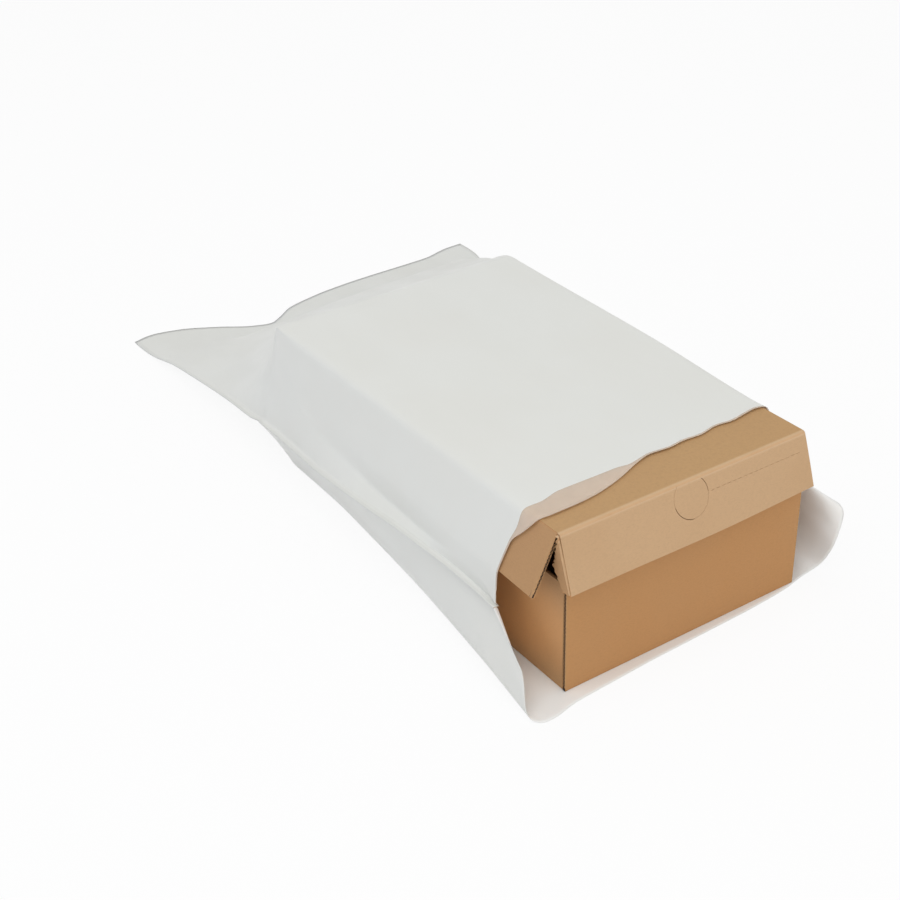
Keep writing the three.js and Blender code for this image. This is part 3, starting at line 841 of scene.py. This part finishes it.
def blade(outline, depth):
    """A closed cutter into the front flap, from an outline of [across, down] points."""
    count = len(outline)
    points = [on_front_flap(u, v, BLADE_STAND_OUT) for u, v in outline]
    points += [on_front_flap(u, v, -depth) for u, v in outline]
    faces = [list(range(count)), list(range(2 * count - 1, count - 1, -1))]
    for here in range(count):
        after = (here + 1) % count
        faces.append([after, here, here + count, after + count])
    return np.array(points), faces


def facing_out(thing):
    """Turns a closed mesh's faces outward."""
    shape = bmesh.new()
    shape.from_mesh(thing.data)
    bmesh.ops.recalc_face_normals(shape, faces=shape.faces)
    shape.to_mesh(thing.data)
    shape.free()
    return thing


def thumb_tab_blades():
    """The thumb tab's rim: two slits cut through, and fainter scored arcs between them."""
    radius = THUMB_TAB_DIAMETER / 2
    blades = []
    for first, last, width, depth in THUMB_TAB_ARCS:
        angles = np.radians(np.linspace(first, last, ARC_POINTS))
        outer, inner = [
            [[THUMB_TAB_X + rim * math.cos(a), THUMB_TAB_DROP + rim * math.sin(a)] for a in angles]
            for rim in (radius + width / 2, radius - width / 2)
        ]
        blades.append(blade(outer + inner[::-1], depth))
    return joined_shells(blades)


def repeated(name, cell, start, step, count, turn, material):
    """Copies of a small object along a straight line, made by Geometry Nodes as one mesh."""
    tree = bpy.data.node_groups.new(name + "_row", "GeometryNodeTree")
    values = {}
    for label, kind, value in (
        ("Cell", "Object", cell), ("Start", "Vector", start), ("Step", "Vector", step),
        ("Count", "Int", count), ("Turn", "Rotation", turn), ("Finish", "Material", material),
    ):
        socket = tree.interface.new_socket(label, in_out="INPUT", socket_type="NodeSocket" + kind)
        values[socket.identifier] = value
    tree.interface.new_socket("Row", in_out="OUTPUT", socket_type="NodeSocketGeometry")
    given, line, cells, copies, real, finish, result = (
        tree.nodes.new(kind) for kind in (
            "NodeGroupInput", "GeometryNodeMeshLine", "GeometryNodeObjectInfo",
            "GeometryNodeInstanceOnPoints", "GeometryNodeRealizeInstances",
            "GeometryNodeSetMaterial", "NodeGroupOutput",
        )
    )
    line.mode = "OFFSET"
    for source, outlet, target, inlet in (
        (given, "Count", line, "Count"), (given, "Start", line, "Start Location"),
        (given, "Step", line, "Offset"), (given, "Cell", cells, "Object"),
        (line, "Mesh", copies, "Points"), (cells, "Geometry", copies, "Instance"),
        (given, "Turn", copies, "Rotation"), (copies, "Instances", real, "Geometry"),
        (real, "Geometry", finish, "Geometry"), (given, "Finish", finish, "Material"),
        (finish, "Geometry", result, "Row"),
    ):
        tree.links.new(source.outputs[outlet], target.inputs[inlet])
    row = new_object(name, bpy.data.meshes.new(name))
    modifier = row.modifiers.new("row", "NODES")
    modifier.node_group = tree
    for identifier, value in values.items():
        modifier[identifier] = value
    return settled(row)


def cell_object(name, points, faces):
    """A small object to be copied, made about its own origin."""
    return mesh_object(name, points, faces, smooth=False, origin=(0, 0, 0))


def removed(*things):
    for thing in things:
        bpy.data.objects.remove(thing, do_unlink=True)


def perforation_blades(material):
    """The perforated line right of the thumb tab, as a row of cutters."""
    first = THUMB_TAB_X + THUMB_TAB_DIAMETER / 2 + PERFORATION_START
    count = int((CARTON_WIDTH - first) // PERFORATION_PITCH)
    half_cut, half_slit = PERFORATION_CUT / 2, PERFORATION_SLIT / 2
    outline = [
        [across_flap * half_cut, PERFORATION_DROP + down * half_slit]
        for across_flap, down in ((-1, -1), (1, -1), (1, 1), (-1, 1))
    ]
    points, faces = blade(outline, PERFORATION_DEPTH)
    middle = np.array(on_front_flap(0, PERFORATION_DROP, 0))
    cell = facing_out(cell_object("perforation_cell", points - middle, faces))
    start = place(first + half_cut, middle[1], middle[2])
    row = repeated(
        "perforation_blades", cell, start, (PERFORATION_PITCH * MM, 0, 0), count, (0, 0, 0), material)
    removed(cell)
    return row


def cut_by(thing, *cutters):
    """Cuts closed meshes out of an object, and deletes them."""
    for cutter in cutters:
        cut = thing.modifiers.new("cut", "BOOLEAN")
        cut.operation = "DIFFERENCE"
        cut.solver = "EXACT"
        cut.object = cutter
    settled(thing)
    removed(*cutters)


def crisp(thing):
    """Rounds the board's cut edges a little."""
    bevel = thing.modifiers.new("edges", "BEVEL")
    bevel.width = EDGE_ROUNDING * MM
    bevel.segments = 2
    bevel.limit_method = "ANGLE"
    bevel.angle_limit = BEVEL_ANGLE
    return settled(thing)


def shade_by_angle(thing):
    """Smooth shading over gentle bends and sharp shading at edges."""
    thing.data.set_sharp_from_angle(angle=SHARP_ANGLE)


def build_carton(board, cut):
    """The carton's tray, its lid with the front flap, and its side flaps with the torn tab."""
    tray = mesh_object("carton_tray", *joined_shells(tray_shells()), [board])
    lid = mesh_object("carton_lid", *lid_and_front_flap(), [board])
    arcs = facing_out(mesh_object("thumb_tab_blades", *thumb_tab_blades(), [cut]))
    cut_by(lid, arcs, perforation_blades(cut))
    left = side_flap(-LID_OVERHANG, -1, LEFT_FLARES, LID_CREASE + BOARD)
    right = side_flap(CARTON_WIDTH + LID_OVERHANG, 1, RIGHT_FLARES, LID_CREASE + BOARD / 2)
    flaps = mesh_object("carton_side_flaps", *joined_shells([left, right, torn_tab()]), [board])
    pieces = [crisp(tray), lid, flaps]
    for piece in pieces:
        shade_by_angle(piece)
    return pieces


# The board's fluted middle layer
FLUTE_PITCH = 3.6
FLUTE_HEIGHT = 2.3
FLUTE_WALL = 0.45
LINER_WALL = 0.3
FLUTE_DEPTH = 1.2
FLUTE_PROUD = 0.3
FLUTE_POINTS = 13
FLAP_FLUTES_TOP = 3
FLAP_FLUTES_INSET = 0.4
# The dark strip of painted shade behind the flutes: how far it stands out of the cut edge, and its
# margin from the board's faces
SHADE_STRIP_PROUD = 0.08
SHADE_STRIP_MARGIN = 0.1
FRONT_EDGE_TOP = FRONT_WALL_TOP - 20


def flute_cell():
    """One wave of the fluted layer between its two liners: along X, across Y, into the edge Z."""
    count = FLUTE_POINTS
    along = np.linspace(0, FLUTE_PITCH, count)
    wave = FLUTE_HEIGHT / 2 * np.sin(2 * math.pi * along / FLUTE_PITCH)
    liner = (BOARD - LINER_WALL) / 2
    shells = []
    for middle, wall in (
        (wave, FLUTE_WALL), (np.full(count, liner), LINER_WALL), (np.full(count, -liner), LINER_WALL),
    ):
        lines = [
            np.stack([along, middle + side * wall / 2, np.full(count, z)], 1)
            for z in (-FLUTE_PROUD, FLUTE_DEPTH) for side in (1, -1)
        ]
        order = [0, 1, 3, 2]
        faces = []
        for here, after in zip(order, order[1:] + order[:1]):
            for at in range(count - 1):
                faces.append([
                    here * count + at, after * count + at,
                    after * count + at + 1, here * count + at + 1,
                ])
        faces.append([line * count for line in order[::-1]])
        faces.append([line * count + count - 1 for line in order])
        shells.append((np.concatenate(lines), faces))
    return cell_object("flute_cell", *joined_shells(shells))


def edge_axes(start, stop, board_way):
    """Along a cut edge, across the board's thickness, and into the board."""
    along = (Vector(stop) - Vector(start)).normalized()
    sideways = Vector(board_way)
    sideways = (sideways - along * sideways.dot(along)).normalized()
    return along, sideways, along.cross(sideways)


def flute_row(name, cell, start, stop, board_way, material):
    """Flutes along one cut edge, from start to stop, with board_way across the board's thickness."""
    along, sideways, inward = edge_axes(start, stop, board_way)
    turn = Matrix((along, sideways, inward)).transposed().to_euler()
    count = int((Vector(stop) - Vector(start)).length // FLUTE_PITCH)
    step = along * FLUTE_PITCH * MM
    return repeated(name, cell, place(*start), step, count, turn, material)


def painted_shade_strip(start, stop, board_way):
    """Painted shade between the flutes: a thin dark strip on the cut edge where the gaps would lie in
    shade.
    """
    sideways, inward = edge_axes(start, stop, board_way)[1:]
    half = BOARD / 2 - SHADE_STRIP_MARGIN
    corner = Vector(start) - sideways * half - inward * SHADE_STRIP_PROUD
    return flat_panel(corner, sideways * half * 2, Vector(stop) - Vector(start))


def build_flutes(paper, gap_painted_shade):
    """The fluted middle layer where it shows at the carton's cut edges, with a dark strip of painted
    shade behind the flutes.
    """
    cell = flute_cell()
    lean = flare(LEFT_FLARES, LID_CREASE + BOARD)
    across_flap = Vector((-math.cos(lean), 0, math.sin(lean)))
    hinge = Vector((-LID_OVERHANG, LID_CREASE + BOARD, LID_TOP)) - across_flap * BOARD / 2
    down_flap = Vector((-math.sin(lean), 0, -math.cos(lean)))
    edges = {
        "left_flap_flutes": (
            hinge + down_flap * FLAP_FLUTES_TOP,
            hinge + down_flap * (SIDE_FLAP_DROP - FLAP_FLUTES_INSET), across_flap),
        "front_wall_flutes": (
            (0, BOARD / 2, FRONT_EDGE_TOP), (0, BOARD / 2, WALL_FOOT), (0, 1, 0)),
        "front_wall_right_flutes": (
            (CARTON_WIDTH, BOARD / 2, WALL_FOOT), (CARTON_WIDTH, BOARD / 2, FRONT_EDGE_TOP), (0, 1, 0)),
    }
    rows = [flute_row(name, cell, *edge, paper) for name, edge in edges.items()]
    # The strips behind the flutes are painted shade.
    strips = joined_shells([painted_shade_strip(*edge) for edge in edges.values()])
    rows.append(mesh_object("cut_edge_hollows", *strips, [gap_painted_shade], smooth=False))
    removed(cell)
    return rows


# Finishes

# The inside film's glow is painted light, standing in for light that comes through the thin film.
INSIDE_PAINTED_GLOW = 0.03
WELD_SHARE = WELD_WIDTH / BAG_WIDTH


def film_finish(name, colour, warm_colour, glow):
    """Thin white polyethylene: satin, with a faint haze of fine creases and darker side welds; a glow,
    where given, is painted light standing in for light through the film.
    """
    film = Finish(name, {"Roughness": 0.42, "IOR": 1.5, "Emission Strength": glow})
    spot = film.spot()
    haze = film.noise(spot, scale=9)
    cloud = film.noise(film.stretched(spot, (1, 0.35, 1)), scale=26, detail=4, roughness=0.6)
    tone = film.blend(film.ramp(haze, 0.3, 0.7) * 0.35, colour, warm_colour)
    across_web = film.axes(film.node("ShaderNodeUVMap", {"uv_map": "web"}, {}))[0]
    from_seam = across_web.math("MINIMUM", 1 - across_web)
    weld = 1 - film.ramp(from_seam, WELD_SHARE * 0.8, WELD_SHARE)
    tone = film.blend(weld * 0.35, tone, shaded(colour, 0.86))
    # A glow is painted light in the film's own tone.
    if glow:
        film.set(Emission_Color=tone)
    rough = 0.36 + film.ramp(cloud, 0.35, 0.65) * 0.14
    height = cloud * 0.5 + film.noise(spot, scale=140, detail=2) * 0.2
    normal = film.bump(height, distance=0.0004, strength=0.5)
    return film.set(Base_Color=tone, Roughness=rough, Normal=normal)


def lip_finish(colour, share):
    """The single thin layer at the mouth, which the board shows through."""
    lip = Finish("film_lip", {"Roughness": 0.38, "IOR": 1.5})
    spot = lip.spot()
    haze = lip.noise(spot, scale=60)
    solid = share + (haze - 0.5) * 0.14
    normal = lip.bump(lip.noise(spot, scale=90, detail=2), distance=0.0003, strength=0.5)
    return lip.set(Base_Color=lip.blend(haze, colour, shaded(colour, 0.96)), Alpha=solid, Normal=normal)


# Kraft fibres: tints from the darkest to the palest, by their place in the noise
FIBRE_TINTS = [(0.25, (0.72, 0.72, 0.72)), (0.5, (0.98, 0.98, 0.98)), (0.8, (1.12, 1.1, 1.06))]
# How far down the front flap its painted sheen reaches
FLAP_SHEEN_DROP = 50


def board_finish(colours):
    """Brown kraft board: fibre flecks and faint lines from the flutes, with painted light: lit and
    shaded copies of its colour by the way each face turns, and a painted highlight along the lid's
    front crease, patchy like scuffs.
    """
    board = Finish("kraft_board", {"Roughness": 0.86, "IOR": 1.35})
    spot = board.spot()
    x, y, z = board.axes(spot)
    turn_x, turn_y, turn_z = board.axes(board.node("ShaderNodeNewGeometry", {}, {}, "Normal"))
    fibre = board.noise(board.stretched(spot, (1, 1, 2.6)), scale=420, detail=4, roughness=0.65)
    fleck_noise = board.noise(board.stretched(spot, (1, 1, 3)), scale=900, detail=2)
    fleck = board.ramp(fleck_noise, 0.62, 0.74)
    flap_low = place(0, 0, LID_TOP - FLAP_SHEEN_DROP).z
    # Lit and shaded copies of the board, chosen by the way each face turns, are painted light: the
    # lid's top painted lighter, the front flap a paler painted sheen, faces turned left and the left
    # wall under the film painted lighter; every other face keeps the base tone as its shaded copy. The
    # side tone also serves for random mottling below.
    lid_facing_painted_light = board.ramp(turn_z, 0.8, 0.95)
    flap_painted_sheen = (
        board.ramp(-1 * turn_y, 0.85, 0.93) * board.ramp(turn_z, 0.15, 0.28)
        * board.ramp(z, flap_low - 0.004, flap_low + 0.002)
    )
    left_facing_painted_light = board.ramp(-1 * turn_x, 0.6, 0.8)
    wall_top = place(0, 0, SIDE_WALL_TOP).z
    side_wall_painted_light = board.ramp(-1 * turn_x, 0.97, 0.99) * (1 - board.ramp(z, wall_top, wall_top + 0.001))
    tone = colours.board_wall_base_and_painted_shade
    for face, colour in (
        (lid_facing_painted_light, colours.board_lid_painted_light), (flap_painted_sheen, colours.board_flap_painted_sheen),
        (left_facing_painted_light, colours.board_side_painted_light_and_mottle), (side_wall_painted_light, colours.board_side_wall_painted_light),
    ):
        tone = board.blend(face, tone, colour)
    fibre_tint = board.node("ShaderNodeValToRGB", {"stops": FIBRE_TINTS}, {"Fac": fibre})
    tone = board.blend(0.35, tone, fibre_tint, "MULTIPLY")
    tone = board.blend(fleck * 0.12, tone, colours.board_fleck)
    cloud = board.ramp(board.noise(spot, scale=14), 0.35, 0.75)
    tone = board.blend(cloud * 0.16, tone, colours.board_side_painted_light_and_mottle)
    # A painted highlight along the lid's front crease, patchy like scuffed wear.
    crease = place(0, LID_CREASE, LID_TOP)
    gap = ((y - crease.y) ** 2 + (z - crease.z) ** 2) ** 0.5
    crease_highlight_and_scuff = (1 - board.ramp(gap, 0.0016, 0.004)) * board.ramp(board.noise(spot, scale=25), 0.1, 0.5)
    tone = board.blend(crease_highlight_and_scuff * 0.45, tone, colours.board_crease_painted_highlight)
    flute_phase = x * (2 * math.pi / (FLUTE_PITCH * MM))
    height = fibre * 0.6 + fleck * 0.3 + flute_phase.math("SINE") * 0.06
    normal = board.bump(height, distance=0.00016, strength=0.6)
    return board.set(Base_Color=tone, Roughness=0.8 + fibre * 0.12, Normal=normal)


def flute_finish(name, colour):
    """The rough brown paper of the fluted middle layer at a cut edge."""
    flute = Finish(name, {"Roughness": 0.92})
    grain = flute.noise(flute.spot(), scale=700)
    tone = flute.blend(flute.ramp(grain, 0.3, 0.7), shaded(colour, 0.7), colour)
    return flute.set(Base_Color=tone, Normal=flute.bump(grain, distance=0.0001, strength=0.6))


def glue_finish(colour):
    """Clear yellow hot-melt glue with a faint rolled grain."""
    glue = Finish("hot_melt_glue", {"Roughness": 0.3, "IOR": 1.45})
    ripple = glue.noise(glue.stretched(glue.spot(), (1, 12, 1)), scale=80)
    tone = glue.blend(ripple, shaded(colour, 0.85), colour)
    return glue.set(Base_Color=tone, Normal=glue.bump(ripple, distance=0.0002, strength=0.4))


def liner_finish(colour):
    """White siliconed release paper."""
    liner = Finish("release_paper", {"Roughness": 0.34, "IOR": 1.45})
    fibre = liner.noise(liner.spot(), scale=300)
    tone = liner.blend(fibre, shaded(colour, 0.94), colour)
    return liner.set(Base_Color=tone, Normal=liner.bump(fibre, distance=0.0001, strength=0.3))


# The stage

FLOOR_REACH = 6
WHITE = (1, 1, 1, 1)
COOL_LIGHT = (0.3, 0.45, 1)
FAR_CLIP = 50


def seen_directly(tree):
    """1 on rays from the camera, off metal and through glass, and 0 on the light's own rays."""
    path = tree.nodes.new("ShaderNodeLightPath")
    seen, glossy, through = (
        Wire(tree, path.outputs[ray])
        for ray in ("Is Camera Ray", "Is Glossy Ray", "Is Transmission Ray")
    )
    return seen.math("MAXIMUM", glossy.math("MAXIMUM", through))


def floor_finish(colour, keep_white):
    """A plain pale floor that renders near white to the camera and still takes the shadow."""
    floor = Finish("pale_floor", {"Roughness": 0.8})
    grain = floor.noise(floor.spot(), scale=30, detail=2)
    floor.set(Base_Color=floor.blend(grain, colour, shaded(colour, 0.99)))
    glow = floor.tree.nodes.new("ShaderNodeEmission")
    glow.inputs["Color"].default_value = WHITE
    glow.inputs["Strength"].default_value = 1
    shared = floor.tree.nodes.new("ShaderNodeMixShader")
    feed(floor.tree, shared.inputs[0], seen_directly(floor.tree) * keep_white)
    floor.tree.links.new(floor.shader.outputs[0], shared.inputs[1])
    floor.tree.links.new(glow.outputs[0], shared.inputs[2])
    floor.tree.links.new(shared.outputs[0], floor.outlet.inputs["Surface"])
    return floor.material


def build_floor(stage):
    reach = FLOOR_REACH
    mesh = bpy.data.meshes.new("floor")
    corners = [(-reach, -reach, 0), (reach, -reach, 0), (reach, reach, 0), (-reach, reach, 0)]
    mesh.from_pydata(corners, [], [(0, 1, 2, 3)])
    mesh.materials.append(floor_finish(stage.floor_colour, stage.floor_white))
    new_object("floor", mesh)


def build_world(stage):
    """Even white light, weaker than the white that the camera sees behind the object."""
    world = bpy.data.worlds.new("studio")
    bpy.context.scene.world = world
    world.use_nodes = True
    tree = world.node_tree
    background = tree.nodes["Background"]
    background.inputs["Color"].default_value = WHITE
    strength = stage.sky + seen_directly(tree) * (1 - stage.sky)
    feed(tree, background.inputs["Strength"], strength)


def soft_lamp(name, power, size, position, target, colour=(1, 1, 1)):
    """A square soft lamp that faces a target."""
    lamp = bpy.data.lights.new(name, "AREA")
    lamp.energy = power
    lamp.color = colour
    lamp.size = size
    thing = new_object(name, lamp)
    thing.location = position
    aim = Vector(target) - Vector(position)
    thing.rotation_euler = aim.to_track_quat("-Z", "Y").to_euler()


def build_camera():
    """The photograph's viewpoint: its place, turn, tilt and focal length."""
    data = bpy.data.cameras.new("camera")
    data.sensor_width = SENSOR_WIDTH
    data.lens = FOCAL_PIXELS / IMAGE_PIXELS * SENSOR_WIDTH
    data.clip_end = FAR_CLIP
    camera = new_object("camera", data)
    turn = (
        Matrix.Rotation(-CAMERA_YAW, 4, "Z") @ Matrix.Rotation(math.pi / 2 - CAMERA_PITCH, 4, "X")
        @ Matrix.Rotation(CAMERA_ROLL, 4, "Z")
    )
    camera.matrix_world = Matrix.Translation(place(*CAMERA_PLACE)) @ turn
    bpy.context.scene.camera = camera


def build_stage(stage):
    bpy.context.scene.view_settings.view_transform = "Standard"
    build_floor(stage)
    build_world(stage)
    soft_lamp("key", stage.key_power, size=2.2, position=(-1.2, -0.6, 2.7), target=(0, 0, 0))
    soft_lamp(
        "front_fill", stage.fill_power, size=1.6, position=(0.3, -2.6, 1.4), target=(0, -0.3, 0.05))
    soft_lamp(
        "cool_side", stage.side_power, size=1.4, position=(-2.4, 0.9, 0.8), target=(-0.2, 0, 0.05),
        colour=COOL_LIGHT)
    build_camera()


# Settings that a user changes

def colour_setting(name, description, colour):
    return FloatVectorProperty(
        name=name, description=description, subtype="COLOR", size=3, min=0, max=1, default=colour)


def screen_colour(name, description, red, green, blue):
    """A colour setting whose default is given as 0 to 255 screen values."""
    return colour_setting(name, description, linear(red, green, blue))


def power_setting(name, description, power):
    return FloatProperty(name=name, description=description, default=power, min=0, unit="POWER")


class MailingBagFilmSettings(bpy.types.PropertyGroup):
    film_thickness: FloatProperty(
        name="Film thickness", description="Thickness of the film's wall",
        default=0.0003, min=0.00005, max=0.001, unit="LENGTH", precision=5)
    lip_opacity: FloatProperty(
        name="Lip opacity", description="How much the single layer at the mouth hides",
        default=0.5, min=0, max=1, subtype="FACTOR")
    film_white: screen_colour("Film", "The film's outside", 224, 225, 220)
    film_warm: screen_colour("Film haze", "The film's warmer patches", 221, 220, 213)
    # The inside colours are painted light: brighter than the outside for light through the film, and
    # warmer in patches for brown light bounced off the board.
    inside_painted_bright: screen_colour("Inside", "The film's inside", 240, 240, 238)
    inside_painted_bounce: screen_colour("Inside haze", "The inside where it is thin", 238, 233, 224)
    lip_tone: screen_colour("Lip", "The single layer at the mouth", 242, 225, 206)


class MailingBagCartonSettings(bpy.types.PropertyGroup):
    # The wall, lid, front flap, side and side wall colours are lit and shaded copies of one board:
    # painted light and shade, chosen in the finish by the way each face turns.
    board_wall_base_and_painted_shade: screen_colour("Wall", "The board of the walls", 191, 142, 93)
    board_lid_painted_light: screen_colour("Lid", "The board of the lid", 188, 151, 107)
    board_flap_painted_sheen: screen_colour("Front flap", "The board of the front flap", 201, 166, 128)
    board_side_painted_light_and_mottle: screen_colour("Side", "The board of the side flaps", 184, 144, 103)
    board_fleck: screen_colour("Flecks", "Pale fibres in the board", 214, 184, 148)
    # The crease colour is a painted highlight along the lid's front crease, with patchy scuffs.
    board_crease_painted_highlight: screen_colour("Crease", "Scuffed creases", 222, 194, 160)
    flute_paper: screen_colour("Flutes", "The fluted middle layer", 196, 152, 104)
    # A near-black brown, painted shade for the gaps between the flutes
    flute_gap_painted_shade: screen_colour("Flute hollows", "The dark hollows between flutes", 48, 30, 18)
    board_side_wall_painted_light: screen_colour("Side wall", "The board of the side walls", 216, 160, 106)
    glue: screen_colour("Glue", "The adhesive strip", 217, 210, 184)
    liner: screen_colour("Liner", "The release liner", 233, 233, 228)


class MailingBagStageSettings(bpy.types.PropertyGroup):
    floor_colour: colour_setting("Floor", "The floor's colour", (0.9, 0.9, 0.9))
    floor_white: FloatProperty(
        name="Floor white", description="How far the floor is held at white",
        default=0.9, min=0, max=1, subtype="FACTOR")
    sky: FloatProperty(name="Sky", description="Strength of the even light", default=0.62, min=0, max=2)
    key_power: power_setting("Key power", "Power of the main soft lamp", 27)
    fill_power: power_setting("Fill power", "Power of the front soft lamp", 11)
    side_power: power_setting("Side power", "Power of the cool lamp at the left", 3.4)


# Operators

class MAILINGBAG_OT_film(bpy.types.Operator):
    """Make the bag's film as one web, drawn over the carton and out on the floor"""
    bl_idname = "mailingbag.film"
    bl_label = "Bag film"

    def execute(self, context):
        settings = context.scene.mailing_bag_film
        outside = film_finish("film_outside", settings.film_white, settings.film_warm, 0)
        # The inside is painted light: a brighter, warmer copy of the film that glows a little.
        inside = film_finish(
            "film_inside", settings.inside_painted_bright, settings.inside_painted_bounce, INSIDE_PAINTED_GLOW)
        lip = lip_finish(settings.lip_tone, settings.lip_opacity)
        film = build_film(settings, [outside, lip, inside, lip])
        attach(film, "root")
        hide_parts("mailing_bag")
        return {"FINISHED"}


class MAILINGBAG_OT_closure(bpy.types.Operator):
    """Finish the adhesive strip and its release liner"""
    bl_idname = "mailingbag.closure"
    bl_label = "Closure strip and liner"

    def execute(self, context):
        settings = context.scene.mailing_bag_carton
        finishes = {
            "adhesive_strip": glue_finish(settings.glue),
            "release_liner": liner_finish(settings.liner),
        }
        for node, finish in finishes.items():
            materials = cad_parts[node].data.materials
            materials.clear()
            materials.append(finish)
        return {"FINISHED"}


class MAILINGBAG_OT_carton(bpy.types.Operator):
    """Make the carton's tray, lid and flaps from folded board"""
    bl_idname = "mailingbag.carton"
    bl_label = "Carton"

    def execute(self, context):
        settings = context.scene.mailing_bag_carton
        paper = flute_finish("flute_paper", settings.flute_paper)
        # The second flute finish is painted shade for the gaps between the flutes.
        gap_painted_shade = flute_finish("flute_gap_painted_shade", settings.flute_gap_painted_shade)
        pieces = build_carton(board_finish(settings), paper) + build_flutes(paper, gap_painted_shade)
        for piece in pieces:
            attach(piece, "root")
        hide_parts("carton")
        return {"FINISHED"}


class MAILINGBAG_OT_stage(bpy.types.Operator):
    """Make the pale floor, the soft light and the camera"""
    bl_idname = "mailingbag.stage"
    bl_label = "Stage"

    def execute(self, context):
        build_stage(context.scene.mailing_bag_stage)
        return {"FINISHED"}


class MAILINGBAG_PT_panel(bpy.types.Panel):
    """Lists the bag's settings and the steps that make it"""
    bl_idname = "MAILINGBAG_PT_panel"
    bl_label = "Plastic mailing bag"
    bl_space_type = "VIEW_3D"
    bl_region_type = "UI"
    bl_category = "Mailing Bag"

    def draw(self, context):
        for group, operators in (
            (context.scene.mailing_bag_film, ("mailingbag.film", "mailingbag.closure")),
            (context.scene.mailing_bag_carton, ("mailingbag.carton",)),
            (context.scene.mailing_bag_stage, ("mailingbag.stage",)),
        ):
            box = self.layout.box()
            for setting in group.__annotations__:
                box.prop(group, setting)
            for operator in operators:
                box.operator(operator)


SETTINGS = {
    "mailing_bag_film": MailingBagFilmSettings,
    "mailing_bag_carton": MailingBagCartonSettings,
    "mailing_bag_stage": MailingBagStageSettings,
}
CLASSES = (
    *SETTINGS.values(), MAILINGBAG_OT_film, MAILINGBAG_OT_closure, MAILINGBAG_OT_carton,
    MAILINGBAG_OT_stage, MAILINGBAG_PT_panel,
)


def register():
    for item in CLASSES:
        bpy.utils.register_class(item)
    for name, group in SETTINGS.items():
        setattr(bpy.types.Scene, name, PointerProperty(type=group))


def unregister():
    for name in SETTINGS:
        delattr(bpy.types.Scene, name)
    for item in reversed(CLASSES):
        bpy.utils.unregister_class(item)


def main():
    register()
    bpy.ops.mailingbag.stage()
    bpy.ops.mailingbag.carton()
    bpy.ops.mailingbag.closure()
    bpy.ops.mailingbag.film()


if __name__ == "__main__":
    main()
